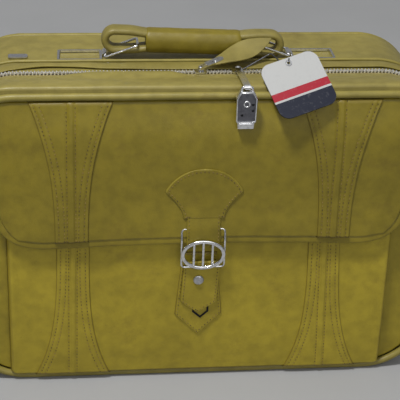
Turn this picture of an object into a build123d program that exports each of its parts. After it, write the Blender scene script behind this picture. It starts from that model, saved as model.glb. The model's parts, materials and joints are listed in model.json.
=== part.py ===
"""Soft-sided vintage suitcase: zipped case, front flap pocket, buckle strap, handle, padlock and tag.

Millimetres. The origin is the middle of the base on the floor, +Z up, +X to the right of a person who
looks at the front, and +Y from the front flap towards the back panel.
"""

from build123d import *
import math
import os

# Body of the case
case_width = 580.0
case_height = 382.0
case_depth = 196.0
corner_radius = 75.0
wall = 2.5
seam_gap = 0.3
ply_gap = 0.2

# Piping round the two large panels
piping_diameter = 9.0
piping_rise = 6.0
piping_side_rise = 3.0
rear_piping_rise = 1.0

# Zip between the lid and the fixed case
lid_depth = 63.0
zip_end_height = 80.0
tape_width = 3.4
tape_thickness = 1.4
teeth_reach = 2.6
teeth_height = 2.8
teeth_pitch = 3.1
tooth_thickness = 1.6
teeth_gap = 0.3

# Placket lip that folds over the zip, and the welt behind it
placket_front = 78.0
placket_back = 98.0
placket_thickness = 2.2
welt_diameter = 4.0
welt_place = 101.5

# Pocket on the lid
pocket_half_width_top = 230.0
pocket_half_width_bottom = 235.0
pocket_bottom = 9.0
pocket_top = 292.0
pocket_depth = 13.0
pocket_corner = 30.0
pocket_sheet = 2.0
pocket_curve_shares = [(0.78, 0.0), (0.96, 0.14), (1.0, 0.34), (0.98, 0.68), (0.70, 1.0)]

# Flap over the pocket
flap_top = 376.0
flap_bottom = 206.0
flap_half_width = 245.0
flap_corner = 44.0
flap_sheet = 2.4
flap_root = 6.0
flap_depth = 18.0
flap_curve_shares = [(0.0, 1.0), (0.22, 0.84), (0.62, 0.50), (0.90, 0.22), (1.0, 0.0)]
binding_width = 7.0
binding_thickness = 1.6

# Hourglass straps sewn on the flap and the pocket
strap_spacing = 155.0
strap_sheet = 1.6
strap_top_half_width = 45.0
strap_waist_half_width = 20.0
strap_foot_half_width = 44.0
strap_bow_share = 0.30
rib_half_width = 5.5
rib_rise = 1.0

# Buckle strap in the middle
fan_half_width = 46.0
fan_top = 299.0
fan_shoulder_height = 270.0
fan_neck_half_width = 24.0
fan_neck = 236.0
fan_sheet = 1.6
tongue_half_width = 20.0
tongue_top = 241.0
tongue_bottom = 200.0
tongue_sheet = 2.2
tongue_reach = 24.0
tongue_root_reach = 21.2
tongue_curve_shares = [(1.0, 0.0), (1.0, 0.3), (0.96, 0.58), (0.5, 0.8), (0.0, 1.0)]
loop_wire = 2.6
loop_half_width = 25.5
loop_top = 222.0
loop_bottom = 172.0
loop_bend = 208.0
loop_corner = 4.0
buckle_width = 53.0
buckle_height = 40.0
buckle_middle = 190.0
buckle_thickness = 3.0
buckle_rim = 4.5
buckle_bars = 3
buckle_bar_width = 3.0
tip_half_width = 22.0
tip_top = 178.0
tip_shoulder_height = 118.0
tip_point = 102.0
tip_sheet = 2.4
tip_top_reach = 22.4
tip_point_reach = 18.3
catch_half_width = 10.0
catch_height = 19.0
catch_rim = 2.4
catch_sheet = 1.2
patch_half_width = 29.0
patch_top = 132.0
patch_shoulder_height = 98.0
patch_point = 68.0
patch_sheet = 1.6
snap_across = -4.0
snap_height = 152.0
snap_radius = 6.5
snap_dome = 2.6
snap_round_share = 0.85
snap_stud_radius = 5.0

# Handle, its bails and plates
handle_place = 122.0
handle_middle = -5.0
sleeve_length = 115.0
sleeve_height = 28.0
sleeve_depth = 31.0
sleeve_corner = 10.0
sleeve_rise = 7.0
core_gap = 0.25
core_depth = 22.0
core_height = 20.0
core_corner = 6.0
eye_reach = 53.0
eye_root = 2.5
eye_height = 33.0
eye_strap = 9.5
bail_wire = 3.0
bail_length = 42.0
bail_side_gap = 0.3
bail_corner = 3.0
bail_rest_angle = 20.5
plate_past_sleeve = 57.5
plate_length = 53.0
plate_half_depth = 16.0
plate_bar = 2.6
plate_thickness = 2.4
plate_corner = 2.0
knuckle_radius = 3.4
knuckle_length = 18.0
pin_clearance = 0.05
stiffener_half_length = 176.0
stiffener_front_reach = 22.0
stiffener_gap = 2.0
stiffener_thickness = 2.0

# Badge plate, bare, and the spring hoop inside the back
badge_from_side = 75.0
badge_gap = 3.0
badge_length = 23.0
badge_width = 12.0
badge_thickness = 1.2
badge_corner = 3.0
hoop_width = 26.0
hoop_from_back = 8.0
hoop_thickness = 1.2

# Zip sliders
slider_length = 14.0
slider_half_width = 5.5
slider_thickness = 1.8
slider_corner = 2.5
slider_gap = 0.4
slider_right_place = 43.5
bridge_length = 6.0
bridge_thickness = 3.0
bridge_pin_rise = 3.0
link_pin_radius = 1.1
cheek_gap = 0.3
cheek_thickness = 1.2
cheek_radius = 2.2

# Leaf pull and its riveted link
leaf_heading = 21.0
leaf_rise_angle = 14.0
leaf_start = 9.0
leaf_length = 87.0
leaf_half_width = 15.5
leaf_sheet = 2.2
leaf_end_half_width = 0.6
leaf_twist = 34.0
leaf_section_shares = [0.0, 0.08, 0.16, 0.25, 0.38, 0.5, 0.62, 0.74, 0.86, 0.94, 1.0]
leaf_flat_share = 0.25
leaf_turned_share = 0.70
link_length = 27.0
link_half_width = 5.5
link_sheet = 1.2
link_rivet_radius = 3.0
link_rivet_rise = 1.0

# Puller of the right slider and the padlock that hangs from it
puller_half_width = 4.0
puller_sheet = 1.5
eye_radius = 3.0
eye_length = 6.0
lock_place = -16.6
lock_pivot_height = 400.0
lock_top = 395.5
lock_bottom = 350.0
lock_half_width = 12.0
lock_shoulder_half_width = 7.5
lock_shoulder_height = 9.0
lock_foot_half_width = 9.5
lock_foot_height = 7.0
lock_thickness = 9.0
lock_bevel = 1.2
shackle_wire = 2.8
shackle_half_width = 6.0
shackle_sink = 4.0
shackle_corner = 2.5
cylinder_radius = 4.2
cylinder_rise = 1.0
cylinder_height = 381.0
lock_rivet_radius = 1.7
lock_rivet_rise = 0.5
lock_rivet_shares = [(0.60, 0.66), (0.60, 0.50), (-0.42, 0.38)]

# Hang tag
tag_width = 70.0
tag_length = 70.0
tag_sheet = 1.6
tag_corner = 12.0
tag_tilt = 41.0
tag_turn = 20.0
tag_across = 94.5
tag_deep = 22.0
tag_rest_gap = 0.6
tag_hole_inset = 6.5
eyelet_bore = 1.9
eyelet_rim = 3.8
eyelet_rise = 0.5
hook_wire = 1.6
hook_reach = 7.0
hook_span_share = 0.72
hook_bend_share = 0.45
tag_swing = 50.0

front = -case_depth / 2
top = case_height
piping_radius = piping_diameter / 2
piping_forward = piping_radius - wall
gusset_start = piping_radius - piping_forward + seam_gap


def deep(distance):
    """Y of a plane that lies a distance behind the front panel's face."""
    return front + distance


def rounded_outline(half_width, bottom, upper, radius):
    """Rounded rectangle seen from the front, its local Y being the height."""
    return Pos(0, (bottom + upper) / 2) * RectangleRounded(2 * half_width, upper - bottom, radius)


def body_outline(inset):
    """Outline of the case from the front, shrunk by an inset; the base stays flat on its own inset."""
    return rounded_outline(case_width / 2 - inset, inset, case_height - inset, corner_radius - inset)


def front_slab(sketch, near, far):
    """Front-view sketch as a slab between two planes, both given behind the front panel's face."""
    plane = Plane(origin=(0, deep(far), 0), x_dir=(1, 0, 0), z_dir=(0, -1, 0))
    return extrude(plane * sketch, amount=far - near)


def box_between(low, high):
    """Box between two corners."""
    size = [b - a for a, b in zip(low, high)]
    middle = [(a + b) / 2 for a, b in zip(low, high)]
    return Pos(*middle) * Box(*size)


def above(height):
    """Space over a height, wide and deep enough for the whole case."""
    reach = case_width + case_depth
    return box_between((-reach, -reach, height), (reach, reach, height + reach))


def shell_strip(outer_inset, thickness, near, far):
    """Closed strip that follows the case's outline."""
    sketch = body_outline(outer_inset) - body_outline(outer_inset + thickness)
    return front_slab(sketch, near, far)


def arch_strip(outer_inset, thickness, near, far):
    """Strip over the top and down both sides as far as the end of the zip."""
    return shell_strip(outer_inset, thickness, near, far) & above(zip_end_height + seam_gap)


def side_profile(curve, shift_near, shift_far):
    """Sheet seen from the side: the space between a curve and its copy, each shifted towards the front."""
    near = [(y - shift_near, z) for y, z in curve]
    far = [(y - shift_far, z) for y, z in curve]
    edges = [Spline(near), Line(near[-1], far[-1]), Spline(far), Line(far[0], near[0])]
    return make_face(edges)


def curved_sheet(curve, shift_near, shift_far, outline):
    """Curved sheet with the given outline in front view."""
    profile = Plane.YZ * side_profile(curve, shift_near, shift_far)
    sheet = extrude(profile, amount=case_width / 2, both=True)
    return sheet & front_slab(outline, -case_depth, case_depth)


def polygon(points):
    """Closed front-view polygon."""
    return make_face(Polyline(*points, close=True))


pieces = {}


def piping_ring(place, rise, side_rise):
    """Round piping along the edge of a large panel; its lowest line rests on the floor."""
    half = case_width / 2 + side_rise - piping_radius
    outline = rounded_outline(half, piping_radius, top + rise - piping_radius, corner_radius)
    plane = Plane(origin=(0, deep(place), 0), x_dir=(1, 0, 0), z_dir=(0, -1, 0))
    path = (plane * outline).face().outer_wire()
    return sweep((path ^ 0) * Circle(piping_radius), path=path)


def panel_outline(extra_inset, rise, side_rise):
    """Outline of a large panel just inside its piping, shrunk by an extra inset."""
    inset = piping_diameter + seam_gap + extra_inset
    half = case_width / 2 + side_rise - inset
    radius = corner_radius - piping_radius - seam_gap - extra_inset
    return rounded_outline(half, inset, top + rise - inset, radius)


def front_outline(extra_inset):
    """Outline of the front panel, shrunk by an extra inset."""
    return panel_outline(extra_inset, piping_rise, piping_side_rise)


tape_front_end = lid_depth + ply_gap + tape_width
chain_middle = tape_front_end + teeth_reach + teeth_gap / 2
tape_rear_start = chain_middle + teeth_gap / 2 + teeth_reach
tape_rear_end = tape_rear_start + tape_width
tray_start = tape_rear_end + ply_gap
tape_inset = wall / 2 - tape_thickness / 2
teeth_inset = wall / 2 - teeth_height / 2
back_start = case_depth - gusset_start
hoop_front = case_depth - hoop_from_back - hoop_width


def make_case():
    """Fixed case: gusset ring, back, zip half, placket, welt and the hoop inside."""
    ring = shell_strip(0, wall, gusset_start, back_start)
    reach = case_width
    lid_room = box_between((-reach, front - reach, zip_end_height), (reach, deep(tray_start), top + reach))
    pieces["case_gusset"] = ring - lid_room
    back = panel_outline(0, rear_piping_rise, rear_piping_rise)
    pieces["back_panel"] = front_slab(back, case_depth - wall, case_depth)
    pieces["rear_piping"] = piping_ring(case_depth + piping_forward, rear_piping_rise, rear_piping_rise)
    pieces["zip_tape_rear"] = arch_strip(tape_inset, tape_thickness, tape_rear_start, tape_rear_end)
    placket_inset = -ply_gap - placket_thickness
    pieces["zip_placket"] = arch_strip(placket_inset, placket_thickness, placket_front, placket_back)
    offset = ply_gap + welt_diameter / 2
    side = case_width / 2 + offset
    place = deep(welt_place)
    corners = [
        (-side, place, zip_end_height),
        (-side, place, top + offset),
        (side, place, top + offset),
        (side, place, zip_end_height),
    ]
    path = FilletPolyline(*corners, radius=corner_radius + offset)
    pieces["tray_welt"] = sweep((path ^ 0) * Circle(welt_diameter / 2), path=path)
    pieces["frame_hoop"] = shell_strip(wall + ply_gap, hoop_thickness, hoop_front, hoop_front + hoop_width)


def make_teeth(name, rail_edge, direction, stagger):
    """One side of the zip chain: a rail on the tape's edge and teeth along the straight top run."""
    rail_width = teeth_reach - teeth_pitch / 2
    near = min(rail_edge, rail_edge + direction * rail_width)
    rail = arch_strip(teeth_inset, teeth_height, near, near + rail_width)
    run = case_width / 2 - corner_radius
    count = int(2 * run / teeth_pitch) - 1
    start = -count * teeth_pitch / 2 + stagger * teeth_pitch
    root = deep(rail_edge + direction * rail_width)
    tip = deep(rail_edge + direction * teeth_reach)
    outline = [(start - teeth_pitch, deep(rail_edge)), (start - teeth_pitch, root)]
    for index in range(count):
        left = start + index * teeth_pitch
        right = left + tooth_thickness
        outline += [(left, root), (left, tip), (right, tip), (right, root)]
    end = start + count * teeth_pitch
    outline += [(end, root), (end, deep(rail_edge))]
    comb = extrude(make_face(Polyline(*outline, close=True)), amount=teeth_height)
    pieces[name] = rail + Pos(0, 0, top - teeth_inset - teeth_height) * comb


def pocket_curve():
    """Side view of the pocket's outer face, from its foot to its mouth."""
    height = pocket_top - pocket_bottom
    return [(deep(-pocket_depth * out), pocket_bottom + height * up) for out, up in pocket_curve_shares]


def flap_curve():
    """Side view of the flap's outer face, from its seam to its lower edge."""
    height = flap_top - flap_bottom
    swell = flap_depth - flap_root
    return [(deep(-flap_root - swell * out), flap_bottom + height * up) for out, up in flap_curve_shares]


def hourglass(middle, wide, wide_height, narrow, narrow_height):
    """Half of an hourglass strap: one wide end, one narrow end, curved edges."""
    bowed = narrow + (wide - narrow) * strap_bow_share
    half_height = (wide_height + narrow_height) / 2
    left = ThreePointArc(
        (middle - wide, wide_height), (middle - bowed, half_height), (middle - narrow, narrow_height)
    )
    right = ThreePointArc(
        (middle + narrow, narrow_height), (middle + bowed, half_height), (middle + wide, wide_height)
    )
    return make_face([left, Line(left @ 1, right @ 0), right, Line(right @ 1, left @ 0)])


def sewn_strap(curve, outline, middle, low, high):
    """Strap sewn on a curved sheet, with a raised rib down its middle."""
    sheet = curved_sheet(curve, ply_gap, ply_gap + strap_sheet, outline)
    rib_outline = Pos(middle, (low + high) / 2) * Rectangle(2 * rib_half_width, high - low)
    rib = curved_sheet(curve, ply_gap, ply_gap + strap_sheet + rib_rise, rib_outline)
    return sheet + rib


def make_lid():
    """Front that opens: panel, gusset, piping, zip half and the pocket."""
    pieces["front_panel"] = front_slab(front_outline(0), 0, wall)
    pieces["lid_gusset"] = arch_strip(0, wall, gusset_start, lid_depth)
    pieces["front_piping"] = piping_ring(-piping_forward, piping_rise, piping_side_rise)
    pieces["zip_tape_front"] = arch_strip(tape_inset, tape_thickness, lid_depth + ply_gap, tape_front_end)

    curve = pocket_curve()
    low = pocket_bottom - pocket_corner
    high = pocket_top + pocket_corner
    outline = polygon([
        (-pocket_half_width_bottom, low), (pocket_half_width_bottom, low),
        (pocket_half_width_top, high), (-pocket_half_width_top, high),
    ]) & front_outline(seam_gap)
    pieces["pocket_panel"] = curved_sheet(curve, 0, -pocket_sheet, outline)
    pieces["pocket_gusset"] = pocket_side_strip(curve, outline)
    strap_end = flap_bottom - seam_gap
    for name, middle in (("left", -strap_spacing), ("right", strap_spacing)):
        shape = hourglass(middle, strap_foot_half_width, pocket_bottom, strap_waist_half_width, strap_end)
        pieces["pocket_strap_" + name] = sewn_strap(curve, shape, middle, pocket_bottom, strap_end)

    patch = polygon([
        (-patch_half_width, patch_top), (-patch_half_width, patch_shoulder_height), (0, patch_point),
        (patch_half_width, patch_shoulder_height), (patch_half_width, patch_top),
    ])
    pieces["strap_base_patch"] = curved_sheet(curve, ply_gap, ply_gap + patch_sheet, patch)
    catch_seat = ply_gap + patch_sheet + ply_gap
    catch_top = tip_point + catch_height / 2
    catch_low = tip_point - catch_height / 2
    catch = polygon([
        (-catch_half_width, catch_top), (-catch_half_width, tip_point), (0, catch_low),
        (catch_half_width, tip_point), (catch_half_width, catch_top),
    ])
    catch = catch - offset(catch, -catch_rim)
    pieces["strap_catch"] = curved_sheet(curve, catch_seat, catch_seat + catch_sheet, catch)


def pocket_side_strip(curve, outline):
    """U-shaped strip that joins the pocket's edge to the front panel, open at the mouth."""
    inner_curve = [(y + pocket_sheet + ply_gap, z) for y, z in curve]
    back = deep(-ply_gap)
    edges = [
        Spline(inner_curve),
        Line(inner_curve[-1], (back, inner_curve[-1][1])),
        Line((back, inner_curve[-1][1]), (back, inner_curve[0][1])),
        Line((back, inner_curve[0][1]), inner_curve[0]),
    ]
    block = extrude(Plane.YZ * make_face(edges), amount=case_width / 2, both=True)
    room = polygon([
        (-pocket_half_width_bottom + pocket_sheet, pocket_bottom + pocket_sheet),
        (pocket_half_width_bottom - pocket_sheet, pocket_bottom + pocket_sheet),
        (pocket_half_width_top - pocket_sheet, pocket_top + pocket_corner),
        (-pocket_half_width_top + pocket_sheet, pocket_top + pocket_corner),
    ]) & front_outline(seam_gap + pocket_sheet)
    return block & front_slab(outline - room, -case_depth, case_depth)


def tip_reach(height):
    """How far the strap tip's face stands in front of the front panel at a height."""
    share = (height - tip_point) / (tip_top - tip_point)
    return tip_point_reach + (tip_top_reach - tip_point_reach) * share


def disc(across, height, near, far, radius):
    """Round disc that faces the front."""
    return front_slab(Pos(across, height) * Circle(radius), near, far)


def make_flap():
    """Flap over the pocket with its straps, fan patch and buckle strap."""
    curve = flap_curve()
    high = flap_top + flap_corner
    outline = rounded_outline(flap_half_width, flap_bottom, high, flap_corner) & front_outline(seam_gap)
    pieces["flap_panel"] = curved_sheet(curve, 0, -flap_sheet, outline)
    inside = rounded_outline(
        flap_half_width - binding_width, flap_bottom + binding_width, high, flap_corner - binding_width
    )
    pieces["flap_binding"] = curved_sheet(curve, ply_gap, ply_gap + binding_thickness, outline - inside)
    strap_end = flap_bottom + binding_width + ply_gap
    for name, middle in (("left", -strap_spacing), ("right", strap_spacing)):
        shape = hourglass(middle, strap_top_half_width, flap_top, strap_waist_half_width, strap_end)
        pieces["flap_strap_" + name] = sewn_strap(curve, shape, middle, strap_end, flap_top)

    fan_left = (-fan_half_width, fan_shoulder_height)
    fan_right = (fan_half_width, fan_shoulder_height)
    arc = ThreePointArc(fan_left, (0, fan_top), fan_right)
    right_point = (fan_neck_half_width, fan_neck)
    left_point = (-fan_neck_half_width, fan_neck)
    sides = Polyline(fan_right, right_point, left_point, fan_left)
    fan = make_face([arc, sides])
    pieces["fan_patch"] = curved_sheet(curve, ply_gap, ply_gap + fan_sheet, fan)

    tongue_height = tongue_top - tongue_bottom
    swell = tongue_reach - tongue_root_reach
    tongue_curve = [
        (deep(-tongue_root_reach - swell * out), tongue_bottom + tongue_height * up)
        for out, up in tongue_curve_shares
    ]
    tongue = Pos(0, tongue_bottom + tongue_height / 2) * Rectangle(2 * tongue_half_width, tongue_height)
    pieces["strap_tongue"] = curved_sheet(tongue_curve, 0, -tongue_sheet, tongue)

    loop_centre = tip_top_reach + seam_gap + loop_wire / 2
    loop_place = deep(-loop_centre)
    bar_place = deep(tongue_sheet + seam_gap + loop_wire / 2 - tongue_reach)
    path = FilletPolyline(
        (-loop_half_width, loop_place, loop_bottom), (loop_half_width, loop_place, loop_bottom),
        (loop_half_width, loop_place, loop_bend), (loop_half_width, bar_place, loop_top),
        (-loop_half_width, bar_place, loop_top), (-loop_half_width, loop_place, loop_bend),
        radius=loop_corner, close=True,
    )
    pieces["buckle_loop"] = sweep((path ^ 0) * Circle(loop_wire / 2), path=path)
    pieces["buckle_plate"] = buckle_grille(loop_centre + loop_wire / 2 + ply_gap)

    tip_curve = [(deep(-tip_reach(height)), height) for height in (tip_point, tip_shoulder_height, tip_top)]
    tip = polygon([
        (-tip_half_width, tip_top), (-tip_half_width, tip_shoulder_height), (0, tip_point),
        (tip_half_width, tip_shoulder_height), (tip_half_width, tip_top),
    ])
    pieces["strap_tip"] = curved_sheet(tip_curve, 0, -tip_sheet, tip)
    face = tip_reach(snap_height + snap_radius) + ply_gap
    dome = disc(snap_across, snap_height, -face - snap_dome, -face, snap_radius)
    outer_edges = dome.edges().group_by(Axis.Y)[0]
    pieces["snap_cap"] = fillet(outer_edges, snap_dome * snap_round_share)
    stud_end = tip_reach(snap_height - snap_stud_radius) - tip_sheet - seam_gap
    stud_start = pocket_depth + ply_gap
    pieces["snap_stud"] = disc(snap_across, snap_height, -stud_end, -stud_start, snap_stud_radius)


def buckle_grille(near):
    """Oval buckle plate: a plain rim with upright bars across its opening."""
    rim = Ellipse(buckle_width / 2, buckle_height / 2)
    opening = Ellipse(buckle_width / 2 - buckle_rim, buckle_height / 2 - buckle_rim)
    grille = rim - opening
    pitch = (buckle_width - 2 * buckle_rim) / (buckle_bars + 1)
    for index in range(buckle_bars):
        across = (index - (buckle_bars - 1) / 2) * pitch
        grille += (Pos(across, 0) * Rectangle(buckle_bar_width, buckle_height - buckle_rim)) & rim
    return front_slab(Pos(0, buckle_middle) * grille, -near - buckle_thickness, -near)


def along(origin, heading, rise):
    """Frame whose X runs along a heading and rises by an angle, with its Z upwards."""
    turn = math.radians(heading)
    lift = math.radians(rise)
    flat = (math.cos(turn), math.sin(turn))
    forward = (flat[0] * math.cos(lift), flat[1] * math.cos(lift), math.sin(lift))
    normal = (-flat[0] * math.sin(lift), -flat[1] * math.sin(lift), math.cos(lift))
    return Plane(origin=origin, x_dir=forward, z_dir=normal)


def barrel(radius, length):
    """Round bar along the local Y, centred."""
    return Rot(90, 0, 0) * Cylinder(radius, length)


def sheet_on(plane, sketch, low, high):
    """Flat sheet on a plane between two levels."""
    return plane.offset(low) * extrude(sketch, amount=high - low)


hinge_height = top + ply_gap + knuckle_radius
plate_start = sleeve_length / 2 + plate_past_sleeve
hinge_across = plate_start - knuckle_radius


def make_handle():
    """Padded handle: strap with an eye at each end, and the sleeve round its middle."""
    middle_height = top + sleeve_rise + sleeve_height / 2
    centre = Pos(handle_middle, deep(handle_place), middle_height)
    sleeve = RectangleRounded(sleeve_depth, sleeve_height, sleeve_corner)
    bore = RectangleRounded(core_depth + 2 * core_gap, core_height + 2 * core_gap, core_corner + core_gap)
    section = Plane.YZ * (sleeve - bore)
    pieces["handle_sleeve"] = centre * extrude(section, amount=sleeve_length / 2, both=True)

    bar_half = sleeve_length / 2 + eye_root
    bar_section = RectangleRounded(core_depth, core_height, core_corner)
    strap = extrude(Plane.YZ * bar_section, amount=bar_half, both=True)
    slot_length = eye_reach - eye_root - eye_strap
    for side in (-1, 1):
        eye_middle = side * (sleeve_length / 2 + seam_gap + (eye_reach - seam_gap) / 2)
        eye = Pos(eye_middle, 0) * SlotOverall(eye_reach - seam_gap, eye_height)
        slot_middle = side * (sleeve_length / 2 + eye_root + slot_length / 2)
        slot = Pos(slot_middle, 0) * SlotOverall(slot_length, eye_height - 2 * eye_strap)
        ring = extrude(Plane.XZ * eye, amount=core_depth / 2, both=True)
        room = extrude(Plane.XZ * slot, amount=core_depth, both=True)
        strap = (strap + ring) - room
    pieces["handle_core"] = centre * strap


def make_handle_hardware():
    """Wire bails, the frames that hold them, the stiffener under the top and the bare badge plate."""
    place = deep(handle_place)
    base = top + ply_gap
    for name, side in (("left", -1), ("right", 1)):
        middle = side * (plate_start + plate_length / 2)
        outer = RectangleRounded(plate_length, 2 * plate_half_depth, plate_corner)
        opening = Rectangle(plate_length - 2 * plate_bar, 2 * (plate_half_depth - plate_bar))
        frame = Pos(middle, place, base) * extrude(outer - opening, amount=plate_thickness)
        hinge = Pos(side * hinge_across, place, hinge_height)
        tab_end = plate_start + plate_bar / 2
        tab_middle = Pos(side * (hinge_across + tab_end) / 2, place, base + plate_thickness / 2)
        tab = tab_middle * Box(tab_end - hinge_across, knuckle_length, plate_thickness)
        bore = hinge * barrel(bail_wire / 2 + pin_clearance, 2 * knuckle_length)
        knuckle = hinge * barrel(knuckle_radius, knuckle_length)
        pieces["handle_plate_" + name] = (frame + tab + knuckle) - bore

        heading = 180 if side > 0 else 0
        plane = along((side * hinge_across, place, hinge_height), heading, bail_rest_angle)
        bail_width = core_depth + 2 * bail_side_gap + bail_wire
        wire_shape = Pos(bail_length / 2, 0) * RectangleRounded(bail_length, bail_width, bail_corner)
        path = (plane * wire_shape).face().outer_wire()
        pieces["bail_" + name] = sweep((path ^ 0) * Circle(bail_wire / 2), path=path)

    under = top - wall - ply_gap
    pieces["handle_stiffener"] = box_between(
        (-stiffener_half_length, place - stiffener_front_reach, under - stiffener_thickness),
        (stiffener_half_length, deep(hoop_front - stiffener_gap), under),
    )
    badge = RectangleRounded(badge_length, badge_width, badge_corner)
    beside_plate = plate_start + plate_length + badge_gap + badge_length / 2
    badge_across = max(case_width / 2 - badge_from_side, beside_plate)
    pieces["badge_plate"] = Pos(-badge_across, place, base) * extrude(badge, amount=badge_thickness)


slider_base = top - teeth_inset + slider_gap
slider_top = slider_base + slider_thickness
pin_height = slider_top + bridge_pin_rise
pin_length = bridge_thickness + 2 * (cheek_gap + cheek_thickness)


def zip_slider(across, heading):
    """Slider's upper plate over the chain, with the bridge that holds its pull."""
    centre = (across, deep(chain_middle))
    plate = RectangleRounded(slider_length, 2 * slider_half_width, slider_corner)
    body = Pos(*centre, slider_base) * extrude(plate, amount=slider_thickness)
    plane = along((*centre, pin_height), heading, 0)
    web = Pos(0, 0, -bridge_pin_rise / 2) * Box(bridge_length, bridge_thickness, bridge_pin_rise)
    bridge = web + barrel(bridge_length / 2, bridge_thickness)
    return body + plane * bridge - plane * barrel(link_pin_radius + pin_clearance, 2 * pin_length)


def fork(arm_length, level):
    """Pin through a slider's bridge with a cheek and an arm on each side, along the local X."""
    shape = barrel(link_pin_radius, pin_length)
    for side in (-1, 1):
        place = side * (pin_length - cheek_thickness) / 2
        cheek = Pos(0, place, 0) * barrel(cheek_radius, cheek_thickness)
        arm = Pos(arm_length / 2, place, level / 2) * Box(arm_length, cheek_thickness, level)
        shape = shape + cheek + arm
    return shape


def leaf_section(share):
    """Cross section of the soft leaf at a share of its length; past its link the leaf turns to the front."""
    half = leaf_end_half_width + (leaf_half_width - leaf_end_half_width) * 4 * share * (1 - share)
    turned = (share - leaf_flat_share) / (leaf_turned_share - leaf_flat_share)
    turned = min(max(turned, 0), 1)
    twist = Rot(leaf_twist * turned * turned * (3 - 2 * turned), 0, 0)
    across = Plane(origin=(leaf_start + leaf_length * share, 0, 0), x_dir=(0, 1, 0), z_dir=(1, 0, 0))
    return twist * across * Rectangle(2 * half, leaf_sheet)


def make_leaf_pull():
    """Left slider with its riveted link and leaf-shaped leather pull."""
    pieces["zip_slider_left"] = zip_slider(0, leaf_heading)
    plane = along((0, deep(chain_middle), pin_height), leaf_heading, leaf_rise_angle)
    link_level = leaf_sheet / 2 + ply_gap
    arm_end = leaf_start - seam_gap
    link_middle = arm_end - link_half_width + link_length / 2
    stadium = Pos(link_middle, 0) * SlotOverall(link_length, 2 * link_half_width)
    clear_end = arm_end - cheek_thickness
    clear = box_between((-link_length, -link_length, 0), (clear_end, link_length, link_length))
    strap = Pos(0, 0, link_level) * extrude(stadium, amount=link_sheet) - clear
    pieces["pull_link"] = plane * (fork(arm_end, link_level + link_sheet) + strap)

    pieces["leaf_pull"] = plane * loft([leaf_section(share) for share in leaf_section_shares])
    rivet_base = link_level + link_sheet + ply_gap
    rivet_place = arm_end + link_length - 3 * link_half_width
    rivet = Pos(rivet_place, 0) * Circle(link_rivet_radius)
    pieces["pull_rivet"] = sheet_on(plane, rivet, rivet_base, rivet_base + link_rivet_rise)


def make_padlock():
    """Right slider, its long puller and the padlock on the puller's eye."""
    pieces["zip_slider_right"] = zip_slider(slider_right_place, -90)
    reach = math.hypot(chain_middle - lock_place, lock_pivot_height - pin_height)
    rise = math.degrees(math.asin((lock_pivot_height - pin_height) / reach))
    plane = along((slider_right_place, deep(chain_middle), pin_height), -90, rise)
    bar_start = bridge_length / 2 + seam_gap
    bar_end = reach - eye_radius / 2
    bar = box_between((bar_start, -puller_half_width, 0), (bar_end, puller_half_width, puller_sheet))
    eye = Pos(reach, 0, 0) * barrel(eye_radius, eye_length)
    bore = Pos(reach, 0, 0) * barrel(shackle_wire / 2 + pin_clearance, 2 * eye_length)
    pieces["puller_link"] = plane * ((fork(bar_start + cheek_thickness, puller_sheet) + bar + eye) - bore)

    across = slider_right_place
    half = [
        (lock_shoulder_half_width, lock_top), (lock_half_width, lock_top - lock_shoulder_height),
        (lock_half_width, lock_bottom + lock_foot_height), (lock_foot_half_width, lock_bottom),
    ]
    outline = [(across + x, z) for x, z in half] + [(across - x, z) for x, z in reversed(half)]
    near = lock_place - lock_thickness / 2
    body = front_slab(polygon(outline), near, lock_place + lock_thickness / 2)
    body = chamfer(body.faces().sort_by(Axis.Y)[0].edges(), lock_bevel)
    feet = lock_top - shackle_sink
    left = across - shackle_half_width
    right = across + shackle_half_width
    place = deep(lock_place)
    path = FilletPolyline(
        (left, place, feet), (left, place, lock_pivot_height),
        (right, place, lock_pivot_height), (right, place, feet), radius=shackle_corner,
    )
    shackle = sweep((path ^ 0) * Circle(shackle_wire / 2), path=path)
    hole_length = 2 * shackle_sink
    for side in (left, right):
        body -= Pos(side, place, lock_top) * Cylinder(shackle_wire / 2 + pin_clearance, hole_length)
    pieces["lock_shackle"] = shackle
    pieces["lock_body"] = body
    face = near - ply_gap
    pieces["lock_cylinder"] = disc(across, cylinder_height, face - cylinder_rise, face, cylinder_radius)
    height = lock_top - lock_bottom
    rivet_top = face - lock_rivet_rise
    rivets = [
        disc(across + x * lock_half_width, lock_bottom + z * height, rivet_top, face, lock_rivet_radius)
        for x, z in lock_rivet_shares
    ]
    pieces["lock_rivets"] = Compound(children=rivets)


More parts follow.
